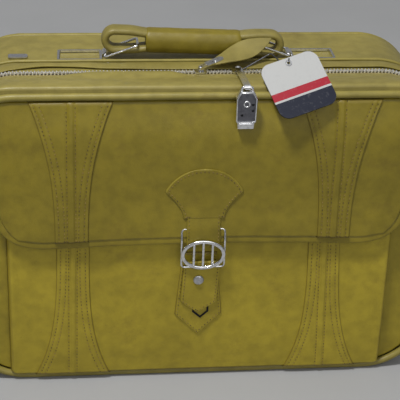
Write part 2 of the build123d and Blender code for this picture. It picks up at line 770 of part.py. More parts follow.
def make_tag():
    """Stiff hang tag with its eyelet, and the wire hook that holds it to the right slider."""
    tilt = math.radians(tag_tilt)
    turn = math.radians(tag_turn)
    over_piping = piping_radius + tag_sheet / 2 + tag_rest_gap + (tag_deep + piping_forward) * math.sin(tilt)
    hole_height = top + piping_rise - piping_radius + over_piping / math.cos(tilt)
    hole = (tag_across, deep(tag_deep), hole_height)
    normal = (0, -math.sin(tilt), math.cos(tilt))
    width_axis = (math.cos(turn), math.sin(turn) * math.cos(tilt), math.sin(turn) * math.sin(tilt))
    plane = Plane(origin=hole, x_dir=width_axis, z_dir=normal)
    outline = Pos(0, tag_hole_inset - tag_length / 2) * RectangleRounded(tag_width, tag_length, tag_corner)
    half = tag_sheet / 2
    barrel_radius = (eyelet_bore + eyelet_rim) / 2
    pieces["tag_plate"] = sheet_on(plane, outline - Circle(barrel_radius + pin_clearance), -half, half)
    rim = Circle(eyelet_rim) - Circle(eyelet_bore)
    tube = Circle(barrel_radius) - Circle(eyelet_bore)
    flange = half + ply_gap
    eyelet = sheet_on(plane, tube, -flange, flange)
    eyelet = eyelet + sheet_on(plane, rim, flange, flange + eyelet_rise)
    pieces["tag_eyelet"] = eyelet + sheet_on(plane, rim, -flange - eyelet_rise, -flange)

    lean = math.radians(tag_tilt - tag_swing / 2)
    ahead = [hook_reach * part for part in (0, -math.sin(lean), math.cos(lean))]
    over = tuple(a + b for a, b in zip(hole, ahead))
    beneath = tuple(a - b for a, b in zip(hole, ahead))
    foot_across = slider_right_place + slider_length / 2 - hook_wire
    foot = (foot_across, deep(chain_middle), slider_top + hook_wire / 2)
    elbow = (foot_across + hook_span_share * (tag_across - foot_across), deep(chain_middle), beneath[2])
    path = FilletPolyline(foot, elbow, beneath, over, radius=hook_reach * hook_bend_share)
    pieces["tag_hook"] = sweep((path ^ 0) * Circle(hook_wire / 2), path=path)


make_case()
make_lid()
make_teeth("zip_teeth_rear", tape_rear_start, -1, 0.5)
make_teeth("zip_teeth_front", tape_front_end, 1, 0)
make_flap()
make_handle()
make_handle_hardware()
make_leaf_pull()
make_padlock()
make_tag()

os.makedirs("parts", exist_ok=True)
for name, piece in pieces.items():
    export_step(piece, os.path.join("parts", name + ".step"))
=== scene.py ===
import json
import math

import bmesh
import bpy
import numpy as np
from mathutils import Matrix, Vector, noise

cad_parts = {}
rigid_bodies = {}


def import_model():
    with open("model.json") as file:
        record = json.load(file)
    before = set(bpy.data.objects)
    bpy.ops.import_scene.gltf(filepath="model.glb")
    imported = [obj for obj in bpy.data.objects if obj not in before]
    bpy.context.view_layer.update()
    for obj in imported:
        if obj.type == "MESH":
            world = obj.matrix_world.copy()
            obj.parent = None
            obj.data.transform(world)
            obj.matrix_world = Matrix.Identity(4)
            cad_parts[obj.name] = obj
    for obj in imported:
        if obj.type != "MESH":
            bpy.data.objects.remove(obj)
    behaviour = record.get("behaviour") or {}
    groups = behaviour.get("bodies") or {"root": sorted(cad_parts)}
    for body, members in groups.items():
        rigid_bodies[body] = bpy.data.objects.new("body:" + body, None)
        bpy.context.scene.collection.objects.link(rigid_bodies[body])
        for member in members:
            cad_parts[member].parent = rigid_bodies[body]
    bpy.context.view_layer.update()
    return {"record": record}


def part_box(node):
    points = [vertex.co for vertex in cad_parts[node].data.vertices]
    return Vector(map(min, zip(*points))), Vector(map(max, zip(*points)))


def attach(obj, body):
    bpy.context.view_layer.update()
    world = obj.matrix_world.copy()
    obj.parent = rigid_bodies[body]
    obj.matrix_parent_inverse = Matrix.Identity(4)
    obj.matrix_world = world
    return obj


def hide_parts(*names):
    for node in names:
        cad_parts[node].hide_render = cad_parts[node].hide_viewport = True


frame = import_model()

# Lengths are in millimetres; a mesh is scaled to metres when it is made.
METRES = 0.001


def node_box(name):
    """Lowest and highest corner of a CAD node, in millimetres."""
    low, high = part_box(name)
    return [v / METRES for v in low], [v / METRES for v in high]


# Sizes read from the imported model
gusset_low, gusset_high = node_box("case_gusset")
panel_low, panel_high = node_box("front_panel")
back_low, back_high = node_box("back_panel")
lid_low, lid_high = node_box("lid_gusset")
piping_low, piping_high = node_box("front_piping")
rear_low, rear_high = node_box("rear_piping")
pocket_low, pocket_high = node_box("pocket_panel")
flap_low, flap_high = node_box("flap_panel")
tape_front_low, tape_front_high = node_box("zip_tape_front")
tape_rear_low, tape_rear_high = node_box("zip_tape_rear")
placket_low, placket_high = node_box("zip_placket")
welt_low, welt_high = node_box("tray_welt")
sleeve_low, sleeve_high = node_box("handle_sleeve")
core_low, core_high = node_box("handle_core")
fan_low, fan_high = node_box("fan_patch")
tongue_low, tongue_high = node_box("strap_tongue")
tip_low, tip_high = node_box("strap_tip")
patch_low, patch_high = node_box("strap_base_patch")
plate_low, plate_high = node_box("buckle_plate")
lock_low, lock_high = node_box("lock_body")

front = panel_low[1]
top = gusset_high[2]
half_width = gusset_high[0]
corner_radius = 75.0
wall = 2.5
zip_end = lid_low[2]
piping_radius = (piping_high[1] - piping_low[1]) / 2
chain_middle = (tape_front_high[1] + tape_rear_low[1]) / 2
handle_place = (sleeve_low[1] + sleeve_high[1]) / 2

# Camera of the photograph, in the frame's axes
camera_place = (-131.2, front - 1178.4, 902.9)
camera_yaw = 6.2
camera_pitch = 28.87
camera_roll = 1.98
focal_pixels = 1150.4
image_pixels = 400
sensor_width = 36.0


def smooth(value, low, high):
    """Smooth step from 0 at low to 1 at high."""
    share = np.clip((value - low) / (high - low), 0.0, 1.0)
    return share * share * (3 - 2 * share)


def lumps(x, y, z, size, seed=0.0):
    """Soft noise of about one unit, with bumps of a given size."""
    return noise.noise(Vector((x / size + seed, y / size - seed, z / size + 2 * seed)))


def new_mesh(name, points, faces, smooth_shade=True):
    """Mesh object from points in millimetres, with outward normals."""
    mesh = bpy.data.meshes.new(name)
    mesh.from_pydata([(x * METRES, y * METRES, z * METRES) for x, y, z in points], [], faces)
    obj = bpy.data.objects.new(name, mesh)
    bpy.context.scene.collection.objects.link(obj)
    shape = bmesh.new()
    shape.from_mesh(mesh)
    bmesh.ops.remove_doubles(shape, verts=shape.verts, dist=1e-6)
    bmesh.ops.recalc_face_normals(shape, faces=shape.faces)
    shape.to_mesh(mesh)
    shape.free()
    if smooth_shade:
        shade_smooth(obj)
    return obj


def shade_smooth(obj, sharp_over=None):
    """Smooth shading, apart from edges that are sharper than an angle in degrees."""
    for polygon in obj.data.polygons:
        polygon.use_smooth = True
    if sharp_over:
        obj.data.set_sharp_from_angle(angle=math.radians(sharp_over))


def place(obj, body, material, nodes=()):
    """Ties a finished piece to its body, finish and the CAD nodes that it stands for."""
    obj.data.materials.clear()
    obj.data.materials.append(material)
    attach(obj, body)
    if nodes:
        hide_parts(*nodes)
    return obj


def sheet_mesh(name, grid):
    """Closed sheet from rows of (outer point, inner point); the rims of both faces are joined."""
    rows = len(grid)
    columns = len(grid[0])
    points = [pair[face] for face in (0, 1) for row in grid for pair in row]
    shift = rows * columns
    faces = []
    for r in range(rows - 1):
        for c in range(columns - 1):
            a = r * columns + c
            quad = (a, a + 1, a + columns + 1, a + columns)
            faces.append(quad)
            faces.append(tuple(shift + i for i in reversed(quad)))
    rim = [(0, c) for c in range(columns)] + [(r, columns - 1) for r in range(1, rows)]
    rim += [(rows - 1, c) for c in range(columns - 2, -1, -1)] + [(r, 0) for r in range(rows - 2, 0, -1)]
    loop = [r * columns + c for r, c in rim]
    for a, b in zip(loop, loop[1:] + loop[:1]):
        faces.append((b, a, shift + a, shift + b))
    return new_mesh(name, points, faces)


def ring_faces(first, rings, sides, closed=False):
    """Quads between neighbouring rings of points; an open run also gets its two end faces."""
    faces = []
    for r in range(rings if closed else rings - 1):
        a = first + r * sides
        b = first + (r + 1) % rings * sides
        for k in range(sides):
            m = (k + 1) % sides
            faces.append((a + k, a + m, b + m, b + k))
    if not closed:
        last = first + (rings - 1) * sides
        faces.append(tuple(range(first + sides - 1, first - 1, -1)))
        faces.append(tuple(range(last, last + sides)))
    return faces


def lengths_along(points):
    """Distance of each point from the first one, along the run."""
    covered = [0.0]
    for a, b in zip(points, points[1:]):
        covered.append(covered[-1] + math.dist(a, b))
    return covered


def span_at(covered, where):
    """Index of the span that a distance along a run falls in, and the share of that span."""
    i = min(max(int(np.searchsorted(covered, where)) - 1, 0), len(covered) - 2)
    return i, (where - covered[i]) / max(covered[i + 1] - covered[i], 1e-6)


def copy_of(node, name):
    """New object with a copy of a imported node's mesh."""
    obj = bpy.data.objects.new(name, bpy.data.objects[node].data.copy())
    bpy.context.scene.collection.objects.link(obj)
    return obj


def edge_spaced(count, crowd=0.5):
    """Shares from 0 to 1, closer together near both ends."""
    plain = np.linspace(0, 1, count)
    eased = (1 - np.cos(np.pi * plain)) / 2
    return plain * (1 - crowd) + eased * crowd


def set_stops(elements, stops):
    """Fills a ramp with a list of (place, colour)."""
    while len(elements) < len(stops):
        elements.new(0.5)
    for element, (where, colour) in zip(elements, stops):
        element.position = where
        element.color = colour if len(colour) == 4 else (*colour, 1.0)


class Nodes:
    """Short way to build one material's node tree."""

    def __init__(self, name):
        self.material = bpy.data.materials.new(name)
        self.material.use_nodes = True
        self.tree = self.material.node_tree
        self.shader = self.tree.nodes["Principled BSDF"]
        self.coordinates = self.add("ShaderNodeTexCoord").outputs

    def add(self, kind, inputs=None, **settings):
        """New node with its settings and the values or links of its inputs."""
        node = self.tree.nodes.new(kind)
        for key, value in settings.items():
            setattr(node, key, value)
        for key, value in (inputs or {}).items():
            self.feed(node.inputs[key], value)
        return node

    def feed(self, socket, value):
        """Sets a socket, or links it when the value is another node's output."""
        if isinstance(value, bpy.types.NodeSocket):
            self.tree.links.new(value, socket)
        else:
            socket.default_value = value

    def set(self, **values):
        """Inputs of the main shader, with underscores for the spaces in their names."""
        for key, value in values.items():
            self.feed(self.shader.inputs[key.replace("_", " ")], value)

    def texture(self, kind, output, inputs, **settings):
        """Output of a texture over the piece's own coordinates, unless others are given."""
        node = self.add(kind, {"Vector": self.coordinates["Object"], **inputs}, **settings)
        return node.outputs[output]

    def noise(self, scale, detail, roughness=0.55, **inputs):
        """Noise with a scale in features for each metre."""
        values = {"Scale": scale, "Detail": detail, "Roughness": roughness, **inputs}
        return self.texture("ShaderNodeTexNoise", "Fac", values)

    def wave(self, scale, distortion=0.0, direction="X"):
        """Even stripes, with a scale in stripes for each metre."""
        values = {"Scale": scale, "Distortion": distortion}
        return self.texture("ShaderNodeTexWave", "Fac", values, bands_direction=direction)

    def ramp(self, value, stops, blend="LINEAR"):
        """Colour or grey ramp through a list of (place, colour)."""
        node = self.add("ShaderNodeValToRGB", {"Fac": value})
        node.color_ramp.interpolation = blend
        set_stops(node.color_ramp.elements, stops)
        return node.outputs["Color"]

    def mix(self, share, first, second, blend="MIX"):
        """Colour mix of two colours or links."""
        node = self.add("ShaderNodeMix", data_type="RGBA", blend_type=blend)
        for socket, value in ((node.inputs[0], share), (node.inputs[6], first), (node.inputs[7], second)):
            self.feed(socket, value)
        return node.outputs[2]

    def bump(self, height, distance, strength=1.0, before=None):
        """Bump from a height, stacked on an earlier bump."""
        inputs = {"Height": height, "Distance": distance, "Strength": strength}
        if before is not None:
            inputs["Normal"] = before
        return self.add("ShaderNodeBump", inputs).outputs["Normal"]


def grey(level):
    """Opaque grey for ramps."""
    return (level, level, level, 1.0)


def tint(colour, factor):
    """Opaque colour, brighter or darker by a factor."""
    return (*[min(c * factor, 1.0) for c in colour], 1.0)


vinyl_colour = (0.275, 0.212, 0.016)
# Dark tone of soil and stains, also used as painted shade in the folds
vinyl_dirt_and_shade = (0.115, 0.075, 0.012)
vinyl_pale = (0.36, 0.30, 0.06)


def make_vinyl(name, base, soil=0.5, grain=1.0):
    """Aged grained vinyl: blotchy colour, soil and painted shade in the folds, worn edges and a fine pebbled
    grain.
    """
    nodes = Nodes(name)
    broad = nodes.noise(9.0, 4.0)
    tone = nodes.ramp(broad, [(0.30, tint(base, 0.86)), (0.55, tint(base, 1.0)), (0.75, tint(base, 1.13))])
    mottled = nodes.ramp(nodes.noise(70.0, 5.0), [(0.32, grey(0.86)), (0.62, grey(1.06))])
    colour = nodes.mix(1.0, tone, mottled, "MULTIPLY")
    stains = nodes.ramp(nodes.noise(17.0, 6.0, 0.7), [(0.56, grey(0.0)), (0.78, grey(soil))])
    colour = nodes.mix(stains, colour, (*vinyl_dirt_and_shade, 1.0))
    specks = nodes.ramp(nodes.noise(420.0, 2.0), [(0.66, grey(0.0)), (0.74, grey(0.5 * soil))])
    colour = nodes.mix(specks, colour, (*vinyl_dirt_and_shade, 1.0))
    point = nodes.add("ShaderNodeNewGeometry").outputs["Pointiness"]
    # Painted shade, together with soil: folds and creases darkened by their pointiness
    crease_soil_and_shade = nodes.ramp(point, [(0.40, grey(0.75)), (0.485, grey(0.0))])
    colour = nodes.mix(crease_soil_and_shade, colour, (*vinyl_dirt_and_shade, 1.0))
    edges = nodes.ramp(point, [(0.53, grey(0.0)), (0.62, grey(0.45))])
    colour = nodes.mix(edges, colour, (*vinyl_pale, 1.0))
    cells = nodes.texture("ShaderNodeTexVoronoi", "Distance", {"Scale": 820.0}, feature="SMOOTH_F1")
    normal = nodes.bump(cells, 0.00022, 0.42 * grain)
    normal = nodes.bump(nodes.noise(1900.0, 3.0), 0.0001, 0.35 * grain, normal)
    normal = nodes.bump(nodes.noise(120.0, 3.0), 0.0006, 0.25, normal)
    sheen = nodes.ramp(nodes.noise(55.0, 4.0), [(0.3, grey(0.40)), (0.7, grey(0.56))])
    nodes.set(Base_Color=colour, Roughness=sheen, Normal=normal, Specular_IOR_Level=0.34)
    nodes.set(Coat_Weight=0.03, Coat_Roughness=0.35)
    return nodes.material


def make_metal(name, base, rough, scratch):
    """Polished or dull metal with hairline scratches, smudges and darker tarnish in the corners."""
    nodes = Nodes(name)
    streaks = nodes.texture("ShaderNodeMapping", "Vector", {"Scale": (1.0, 9.0, 14.0)})
    lines = nodes.noise(900.0, 4.0, Vector=streaks)
    smudge = nodes.noise(160.0, 4.0)
    level = nodes.ramp(smudge, [(0.35, grey(rough)), (0.75, grey(rough + scratch))])
    tarnish = nodes.ramp(nodes.noise(300.0, 5.0), [(0.45, tint(base, 1.0)), (0.8, tint(base, 0.62))])
    point = nodes.add("ShaderNodeNewGeometry").outputs["Pointiness"]
    corner = nodes.ramp(point, [(0.38, grey(0.7)), (0.48, grey(0.0))])
    colour = nodes.mix(corner, tarnish, (0.05, 0.045, 0.04, 1.0))
    nodes.set(Base_Color=colour, Roughness=level, Metallic=1.0, Normal=nodes.bump(lines, 0.00004, 0.5))
    return nodes.material


def make_thread(name, base):
    """Sewing thread with a fine twist; its stitches vary at random from dark, for dirt and the shaded needle
    holes, to pale, as painted highlights.
    """
    nodes = Nodes(name)
    # Painted highlights and shade: stitches range at random from dark to pale
    shade = nodes.ramp(nodes.noise(200.0, 2.0), [(0.42, tint(base, 0.8)), (0.60, tint(base, 2.9))])
    twist = nodes.wave(1400.0, 1.5)
    nodes.set(Base_Color=shade, Roughness=0.75, Normal=nodes.bump(twist, 0.00008, 0.6))
    return nodes.material


def make_tape(name, base):
    """Woven zip tape."""
    nodes = Nodes(name)
    weave = nodes.mix(0.5, nodes.wave(380.0), nodes.wave(380.0, direction="Y"))
    shade = nodes.mix(nodes.noise(60.0, 4.0), tint(base, 0.7), tint(base, 1.15))
    nodes.set(Base_Color=shade, Roughness=0.9, Normal=nodes.bump(weave, 0.0002, 0.7))
    return nodes.material


def make_floor():
    """Pale grey studio floor with a faint mottle, and painted light that makes it lighter towards the back.
    """
    nodes = Nodes("studio_floor")
    mottle = nodes.ramp(nodes.noise(3.0, 3.0), [(0.3, grey(0.97)), (0.7, grey(1.03))])
    # Painted light: the floor grows lighter from front to back
    depth = nodes.texture("ShaderNodeSeparateXYZ", "Y", {})
    share = nodes.add("ShaderNodeMapRange", {"Value": depth, "From Min": 0.4, "From Max": 1.8})
    tone = nodes.mix(share.outputs["Result"], grey(0.315), grey(0.44))
    nodes.set(Base_Color=nodes.mix(1.0, tone, mottle, "MULTIPLY"), Roughness=0.9, Specular_IOR_Level=0.2)
    return nodes.material


vinyl = make_vinyl("aged_vinyl", vinyl_colour)
vinyl_trim = make_vinyl("sewn_vinyl", tint(vinyl_colour, 0.95)[:3], soil=0.6, grain=1.1)
# Darker copies of the vinyl for the flap and its trims: painted shade
vinyl_flap_painted_shade = make_vinyl("flap_vinyl", tint(vinyl_colour, 0.72)[:3], soil=0.6)
vinyl_flap_trim_painted_shade = make_vinyl("flap_sewn_vinyl_painted_shade", tint(vinyl_colour, 0.72)[:3], soil=0.6, grain=1.1)
# Paler, greyer copies for the gusset walls, and as trim for the placket, handle eyes and leaf: the overhead
# light's sheen painted into the colour
vinyl_painted_sheen = make_vinyl("painted_sheen_vinyl", (0.222, 0.182, 0.044))
vinyl_trim_painted_sheen = make_vinyl("painted_sheen_sewn_vinyl", (0.196, 0.160, 0.038), soil=0.6, grain=1.1)
vinyl_handle = make_vinyl("handle_vinyl", tint(vinyl_colour, 0.60)[:3], soil=0.6)
# Lighter copies of the vinyl for the pocket and its trims: painted light
vinyl_pocket_painted_light = make_vinyl("pocket_vinyl", tint(vinyl_colour, 1.22)[:3])
vinyl_pocket_trim_painted_light = make_vinyl("pocket_sewn_vinyl_painted_light", tint(vinyl_colour, 1.19)[:3], grain=1.1)
# Piping and welt: the same pale tone of painted sheen as the walls
vinyl_piping_painted_light = make_vinyl("piping_vinyl_painted_light", (0.222, 0.182, 0.038), soil=0.75)
chrome = make_metal("worn_chrome", (0.80, 0.80, 0.81), 0.10, 0.14)
steel = make_metal("satin_steel", (0.52, 0.52, 0.53), 0.30, 0.15)
dark_steel = make_metal("dark_steel", (0.17, 0.17, 0.19), 0.28, 0.2)
black_steel = make_metal("black_steel", (0.03, 0.03, 0.032), 0.3, 0.2)
zip_metal = make_metal("zip_aluminium", (0.95, 0.94, 0.92), 0.46, 0.1)
thread = make_thread("waxed_thread", (0.085, 0.055, 0.016))
tape = make_tape("woven_tape", (0.23, 0.18, 0.05))


wall_columns = 34

# The lid's soft wall: a roll behind the piping, a groove before it and a lip beside the zip
roll_behind = 4.5
roll_rim = 5.0
roll_ease = (11.0, 58.0)
side_roll = 3.2
top_roll = 7.4
roll_lean = 4.0
groove_depth = 2.2
groove_span = (3.5, 6.0)
lip_height = 5.0
lip_starts = (-175.0, -120.0)
lip_ends = (-40.0, -9.0)

# The fixed wall sags between the hoop and the zip
top_sag = 2.4
sag_width = 190.0
base_hold = 40.0


def body_loop(inset, step=6.0):
    """Points round the case's front-view outline as (x, z, outward x, outward z), from the base's middle."""
    half = half_width - inset
    low = inset
    high = top - inset
    radius = corner_radius - inset
    corners = [(half - radius, low + radius, -90), (half - radius, high - radius, 0),
               (radius - half, high - radius, 90), (radius - half, low + radius, 180)]
    loop = []
    ends = [(0.0, low)]
    for cx, cz, start in corners:
        first = math.radians(start)
        entry = (cx + radius * math.cos(first), cz + radius * math.sin(first))
        loop += straight_points(ends[-1], entry, step, (math.cos(first), math.sin(first)))
        count = max(int(radius * math.pi / 2 / step), 10)
        for index in range(count):
            angle = first + math.pi / 2 * index / count
            out = (math.cos(angle), math.sin(angle))
            loop.append((cx + radius * out[0], cz + radius * out[1], *out))
        last = first + math.pi / 2
        ends.append((cx + radius * math.cos(last), cz + radius * math.sin(last)))
    loop += straight_points(ends[-1], (0.0, low), step, (0.0, -1.0))
    return loop


def straight_points(start, end, step, out):
    """Evenly spaced points of a straight run without its end."""
    count = max(int(math.dist(start, end) / step), 1)
    return [
        (start[0] + (end[0] - start[0]) * i / count, start[1] + (end[1] - start[1]) * i / count, *out)
        for i in range(count)
    ]


def arch_part(loop, height):
    """The part of the loop over a height, ending exactly at that height on both sides."""
    kept = [p for p in loop if p[1] > height + 1.0]
    first, last = kept[0], kept[-1]
    return [(first[0], height, *first[2:])] + kept + [(last[0], height, *last[2:])]


def wall_sheet(name, strip, depths, swell, thickness):
    """Gusset wall over a run of outline points, with a swell along the outward direction."""
    grid = []
    for x, z, out_x, out_z in strip:
        near, far = depths(x, z)
        row = []
        for share in edge_spaced(wall_columns, 0.6):
            y = near + (far - near) * share
            rise = swell(x, y, z, share)
            row.append([(x + out_x * level, y, z + out_z * level) for level in (rise, rise - thickness)])
        grid.append(row)
    return sheet_mesh(name, grid)


def top_share(z):
    """1 on the flat top of the case, 0 on its sides."""
    return smooth(z, top - 40.0, top - 2.0)


def lip_lift(x, z):
    """Rise of the lid's edge beside the zip, where the soft wall stands up in front of the teeth."""
    return lip_height * top_share(z) * smooth(x, *lip_starts) * (1 - smooth(x, *lip_ends))


def lid_swell(x, y, z, share):
    """Lid gusset: a full roll behind the piping that eases down to the zip, with shallow ripples."""
    behind = y - lid_low[1]
    roll = rim_lift(behind - roll_behind, roll_rim) * (1 - 0.9 * smooth(behind, *roll_ease))
    full = side_roll + top_roll * top_share(z)
    groove = groove_depth * (1 - smooth(behind, *groove_span))
    hold = math.sin(math.pi * share) ** 0.5
    ripple = 0.8 * lumps(x, y, z, 55.0, 3.1) + 0.35 * lumps(x, y, z, 18.0, 7.7)
    lip = lip_lift(x, z) * smooth(share, 0.55, 0.97)
    return full * roll * (1 - smooth(share, 0.9, 1.0)) - groove + hold * ripple + lip


def case_swell(x, y, z, share):
    """Case gusset: sags a little between the hoop and the zip on top, nearly flat at the base."""
    hold = math.sin(math.pi * share) ** 0.6
    at_base = 1.0 - smooth(z, 0.0, base_hold)
    sag = -top_sag * top_share(z) * (0.5 + 0.5 * math.exp(-((x / sag_width) ** 2)))
    ripple = lumps(x, y, z, 70.0, 1.3) + 0.4 * lumps(x, y, z, 24.0, 4.9)
    rise = hold * (sag + ripple + 0.8)
    return rise * (1.0 - at_base) + min(rise, 0.0) * at_base * 0.2


def make_gussets():
    """Soft walls of the lid and of the fixed case."""
    loop = body_loop(0.0)
    lid_strip = arch_part(loop, zip_end)
    near, far = lid_low[1], lid_high[1]
    lid = wall_sheet("lid_gusset_vinyl", lid_strip, lambda x, z: (near, far), lid_swell, wall)
    for vertex in lid.data.vertices:
        behind = vertex.co.y / METRES - near
        over = vertex.co.z / METRES - top
        lean = smooth(over, 0.0, 6.5) * (1 - smooth(behind, 10.0, 34.0))
        vertex.co.y -= roll_lean * lean * METRES
    place(lid, "lid", vinyl_painted_sheen, ["lid_gusset"])

    tray_near = tape_rear_high[1] + 0.2
    full = []
    for a, b in zip(loop, loop[1:] + loop[:1]):
        full.append(a)
        if (a[1] - zip_end) * (b[1] - zip_end) < 0:
            full.append((a[0], zip_end - 0.4, a[2], a[3]))
            full.append((a[0], zip_end - 0.2, a[2], a[3]))
            if a[1] > b[1]:
                full[-1], full[-2] = full[-2], full[-1]
    full.append(full[0])

    def depths(x, z):
        return (gusset_low[1] if z < zip_end - 0.3 else tray_near, gusset_high[1])

    case = wall_sheet("case_gusset_vinyl", full, depths, case_swell, wall)
    place(case, "case", vinyl_painted_sheen, ["case_gusset"])


def along_path(value, i):
    """A sweep's value at a point of its path: one for all points, or a list."""
    return value[i] if isinstance(value, list) else value


def tube(name, path, ups, width, height, sides=12, closed=False, power=1.0):
    """Sweep of a rounded section along a path; width lies across the up direction."""
    rings = []
    count = len(path)
    for i, point in enumerate(path):
        before = path[i - 1] if closed or i > 0 else path[i]
        after = path[(i + 1) % count] if closed or i < count - 1 else path[i]
        run = (Vector(after) - Vector(before)).normalized()
        up = Vector(along_path(ups, i))
        up = (up - run * up.dot(run)).normalized()
        side = run.cross(up)
        half_width_here = along_path(width, i) / 2
        half_height_here = along_path(height, i) / 2
        ring = []
        for k in range(sides):
            angle = 2 * math.pi * k / sides
            c, s = math.cos(angle), math.sin(angle)
            c = math.copysign(abs(c) ** power, c)
            s = math.copysign(abs(s) ** power, s)
            ring.append(Vector(point) + side * (c * half_width_here) + up * (s * half_height_here))
        rings.append(ring)
    points = [p for ring in rings for p in ring]
    return new_mesh(name, points, ring_faces(0, count, sides, closed))


def make_piping(name, node, middle_y, body):
    """Vinyl piping ring with small lumps of its cord, held level where it meets the floor."""
    low, high = node_box(node)
    radius = (high[1] - low[1]) / 2
    half = high[0] - radius
    rise = high[2] - radius
    path = []
    ups = []
    for x, z, out_x, out_z in body_loop(0.0, 5.0):
        px = x * half / half_width
        pz = radius + z * (rise - radius) / top
        wave = 0.35 * lumps(px, middle_y, pz, 60.0, 5.5)
        floor_hold = smooth(pz, radius, radius + 25.0)
        path.append((px + out_x * wave, middle_y, pz + out_z * wave * floor_hold))
        ups.append((out_x, 0.0, out_z))
    sizes = [2 * radius * (0.97 + 0.05 * lumps(p[0], p[1], p[2], 16.0, 2.2)) for p in path]
    ring = tube(name, path, ups, sizes, sizes, 14, True)
    place(ring, body, vinyl_piping_painted_light, [node])


def cubic_through(places, values):
    """Smooth curve through a few points, as a function."""
    slopes = np.gradient(values, places)

    def value_at(t):
        i = int(np.clip(np.searchsorted(places, t) - 1, 0, len(places) - 2))
        h = places[i + 1] - places[i]
        s = (t - places[i]) / h
        return (
            (2 * s ** 3 - 3 * s ** 2 + 1) * values[i] + (s ** 3 - 2 * s ** 2 + s) * h * slopes[i]
            + (3 * s ** 2 - 2 * s ** 3) * values[i + 1] + (s ** 3 - s ** 2) * h * slopes[i + 1]
        )

    return value_at


pocket_depth = front - pocket_low[1]
pocket_height = pocket_high[2] - pocket_low[2]
pocket_out = cubic_through(
    [pocket_low[2] + pocket_height * s for s in (0.0, 0.14, 0.34, 0.68, 1.0)],
    [pocket_depth * s for s in (0.78, 0.96, 1.0, 0.84, 0.62)],
)
flap_root = front - (flap_high[1] - 2.4)
flap_depth = front - flap_low[1]
flap_height = flap_high[2] - flap_low[2]
flap_out = cubic_through(
    [flap_low[2] + flap_height * s for s in (0.0, 0.22, 0.50, 0.84, 1.0)],
    [flap_root + (flap_depth - flap_root) * s for s in (1.0, 0.97, 0.82, 0.42, 0.0)],
)
panel_corner = corner_radius - piping_radius - 0.3


def rounded_half(z, low, high):
    """Half width at a height of a panel with rounded corners, given by its lowest and highest corner."""
    over = max(z - (high[2] - panel_corner), low[2] + panel_corner - z, 0.0)
    return high[0] - panel_corner + math.sqrt(max(panel_corner ** 2 - over ** 2, 0.0))


def inside_panel(z):
    """Half width of the front panel at a height."""
    return rounded_half(z, panel_low, panel_high)


def rim_lift(distance, rim):
    """Share of a sheet's thickness at a distance from its edge: a rounded edge."""
    share = min(max(distance / rim, 0.0), 1.0)
    return math.sqrt(1 - (1 - share) ** 2)


def front_sheet(name, rows, columns, face, thickness, rim, crowd=0.6):
    """Soft sheet that faces the front. Each row is (height, left, right); face gives the outer face's y."""
    heights = [row[0] for row in rows]
    low, high = min(heights), max(heights)
    grid = []
    for z, left, right in rows:
        row = []
        for share in edge_spaced(columns, crowd):
            x = left + (right - left) * share
            near_edge = min(x - left, right - x, z - low, high - z)
            y = face(x, z)
            row.append(((x, y + thickness * (1 - rim_lift(near_edge, rim)), z), (x, y + thickness, z)))
        grid.append(row)
    return sheet_mesh(name, grid)


def sheet_rows(low, high, count, crowd, half_at, middle_at=lambda z: 0.0):
    """Rows (height, left, right) of a sheet, from its half width and its middle at each height."""
    heights = [low + (high - low) * s for s in edge_spaced(count, crowd)]
    return [(z, middle_at(z) - half_at(z), middle_at(z) + half_at(z)) for z in heights]


panel_row_count = 60
panel_columns = 90
panel_rim = 2.0
front_crown = 1.0
back_crown = 4.0


def panel_rows(low, high):
    """Rows of a sheet with a panel's rounded outline."""
    return sheet_rows(low[2], high[2], panel_row_count, 0.75, lambda z: rounded_half(z, low, high))


def crown(x, z, low, high):
    """Share of a panel's swell: none at its edge, full over its middle."""
    across = 1 - (x / high[0]) ** 4
    middle = (low[2] + high[2]) / 2
    along = 1 - ((z - middle) / (high[2] - middle)) ** 4
    return max(across, 0.0) * max(along, 0.0)


def make_panels():
    """Front and back faces of the case."""

    def front_face(x, z):
        swell = front_crown + 0.7 * lumps(x, 0, z, 80.0, 8.2)
        return front - crown(x, z, panel_low, panel_high) * swell

    def back_face(x, z):
        swell = back_crown + 1.6 * lumps(x, 0, z, 90.0, 2.9)
        return -back_high[1] - crown(x, z, back_low, back_high) * swell

    rows = panel_rows(panel_low, panel_high)
    panel = front_sheet("front_panel_vinyl", rows, panel_columns, front_face, wall, panel_rim)
    place(panel, "lid", vinyl, ["front_panel"])
    rows = panel_rows(back_low, back_high)
    back = front_sheet("back_panel_vinyl", rows, panel_columns, back_face, wall, panel_rim)
    for vertex in back.data.vertices:
        vertex.co.y = -vertex.co.y
    back.data.flip_normals()
    place(back, "case", vinyl, ["back_panel"])


pocket_edge = pocket_high[0]
pocket_top = pocket_high[2]
pocket_taper = 5.0
pocket_sheet = 2.0
pocket_rim = 1.8
fold_inset = 3.5
fold_height = 1.2
fold_width = 5.0
belly_height = 1.3
belly_reach = 70.0
gusset_sheet = 1.4
gusset_inset = 2.0
gusset_fold = 3.2
gusset_fold_start = 60.0
gusset_foot = 3.0
gusset_behind = 2.2


def pocket_half(z):
    """Half width of the pocket at a height, kept inside the panel's rounded foot."""
    share = (z - pocket_low[2]) / pocket_height
    return min(pocket_edge - pocket_taper * share, inside_panel(z))


def pocket_face(x, z):
    """Outer face of the pocket: a full belly that folds back along each side, and soft dents."""
    reach = pocket_out(z)
    side = abs(x)
    from_edge = pocket_half(z) - side
    up = (z - pocket_low[2]) / pocket_height
    fold = fold_height * math.exp(-((from_edge - 2.0 * fold_inset) / fold_width) ** 2) * smooth(up, 0.04, 0.5)
    set_back = 0.5 * reach * smooth(fold_inset - from_edge, 0.0, fold_inset)
    belly = belly_height * math.cos(min(side / belly_reach, math.pi / 2)) * math.sin(math.pi * min(up, 1.0))
    dents = 0.8 * lumps(x, 0, z, 48.0, 6.1) + 0.35 * lumps(x, 0, z, 17.0, 9.4)
    lean = 0.9 * math.sin(side / 19.0) * smooth(side, 185.0, 225.0) * (1 - up)
    hold = smooth(up, 0.0, 0.12)
    return front - reach - hold * (fold + belly + dents + lean) + set_back + 0.6


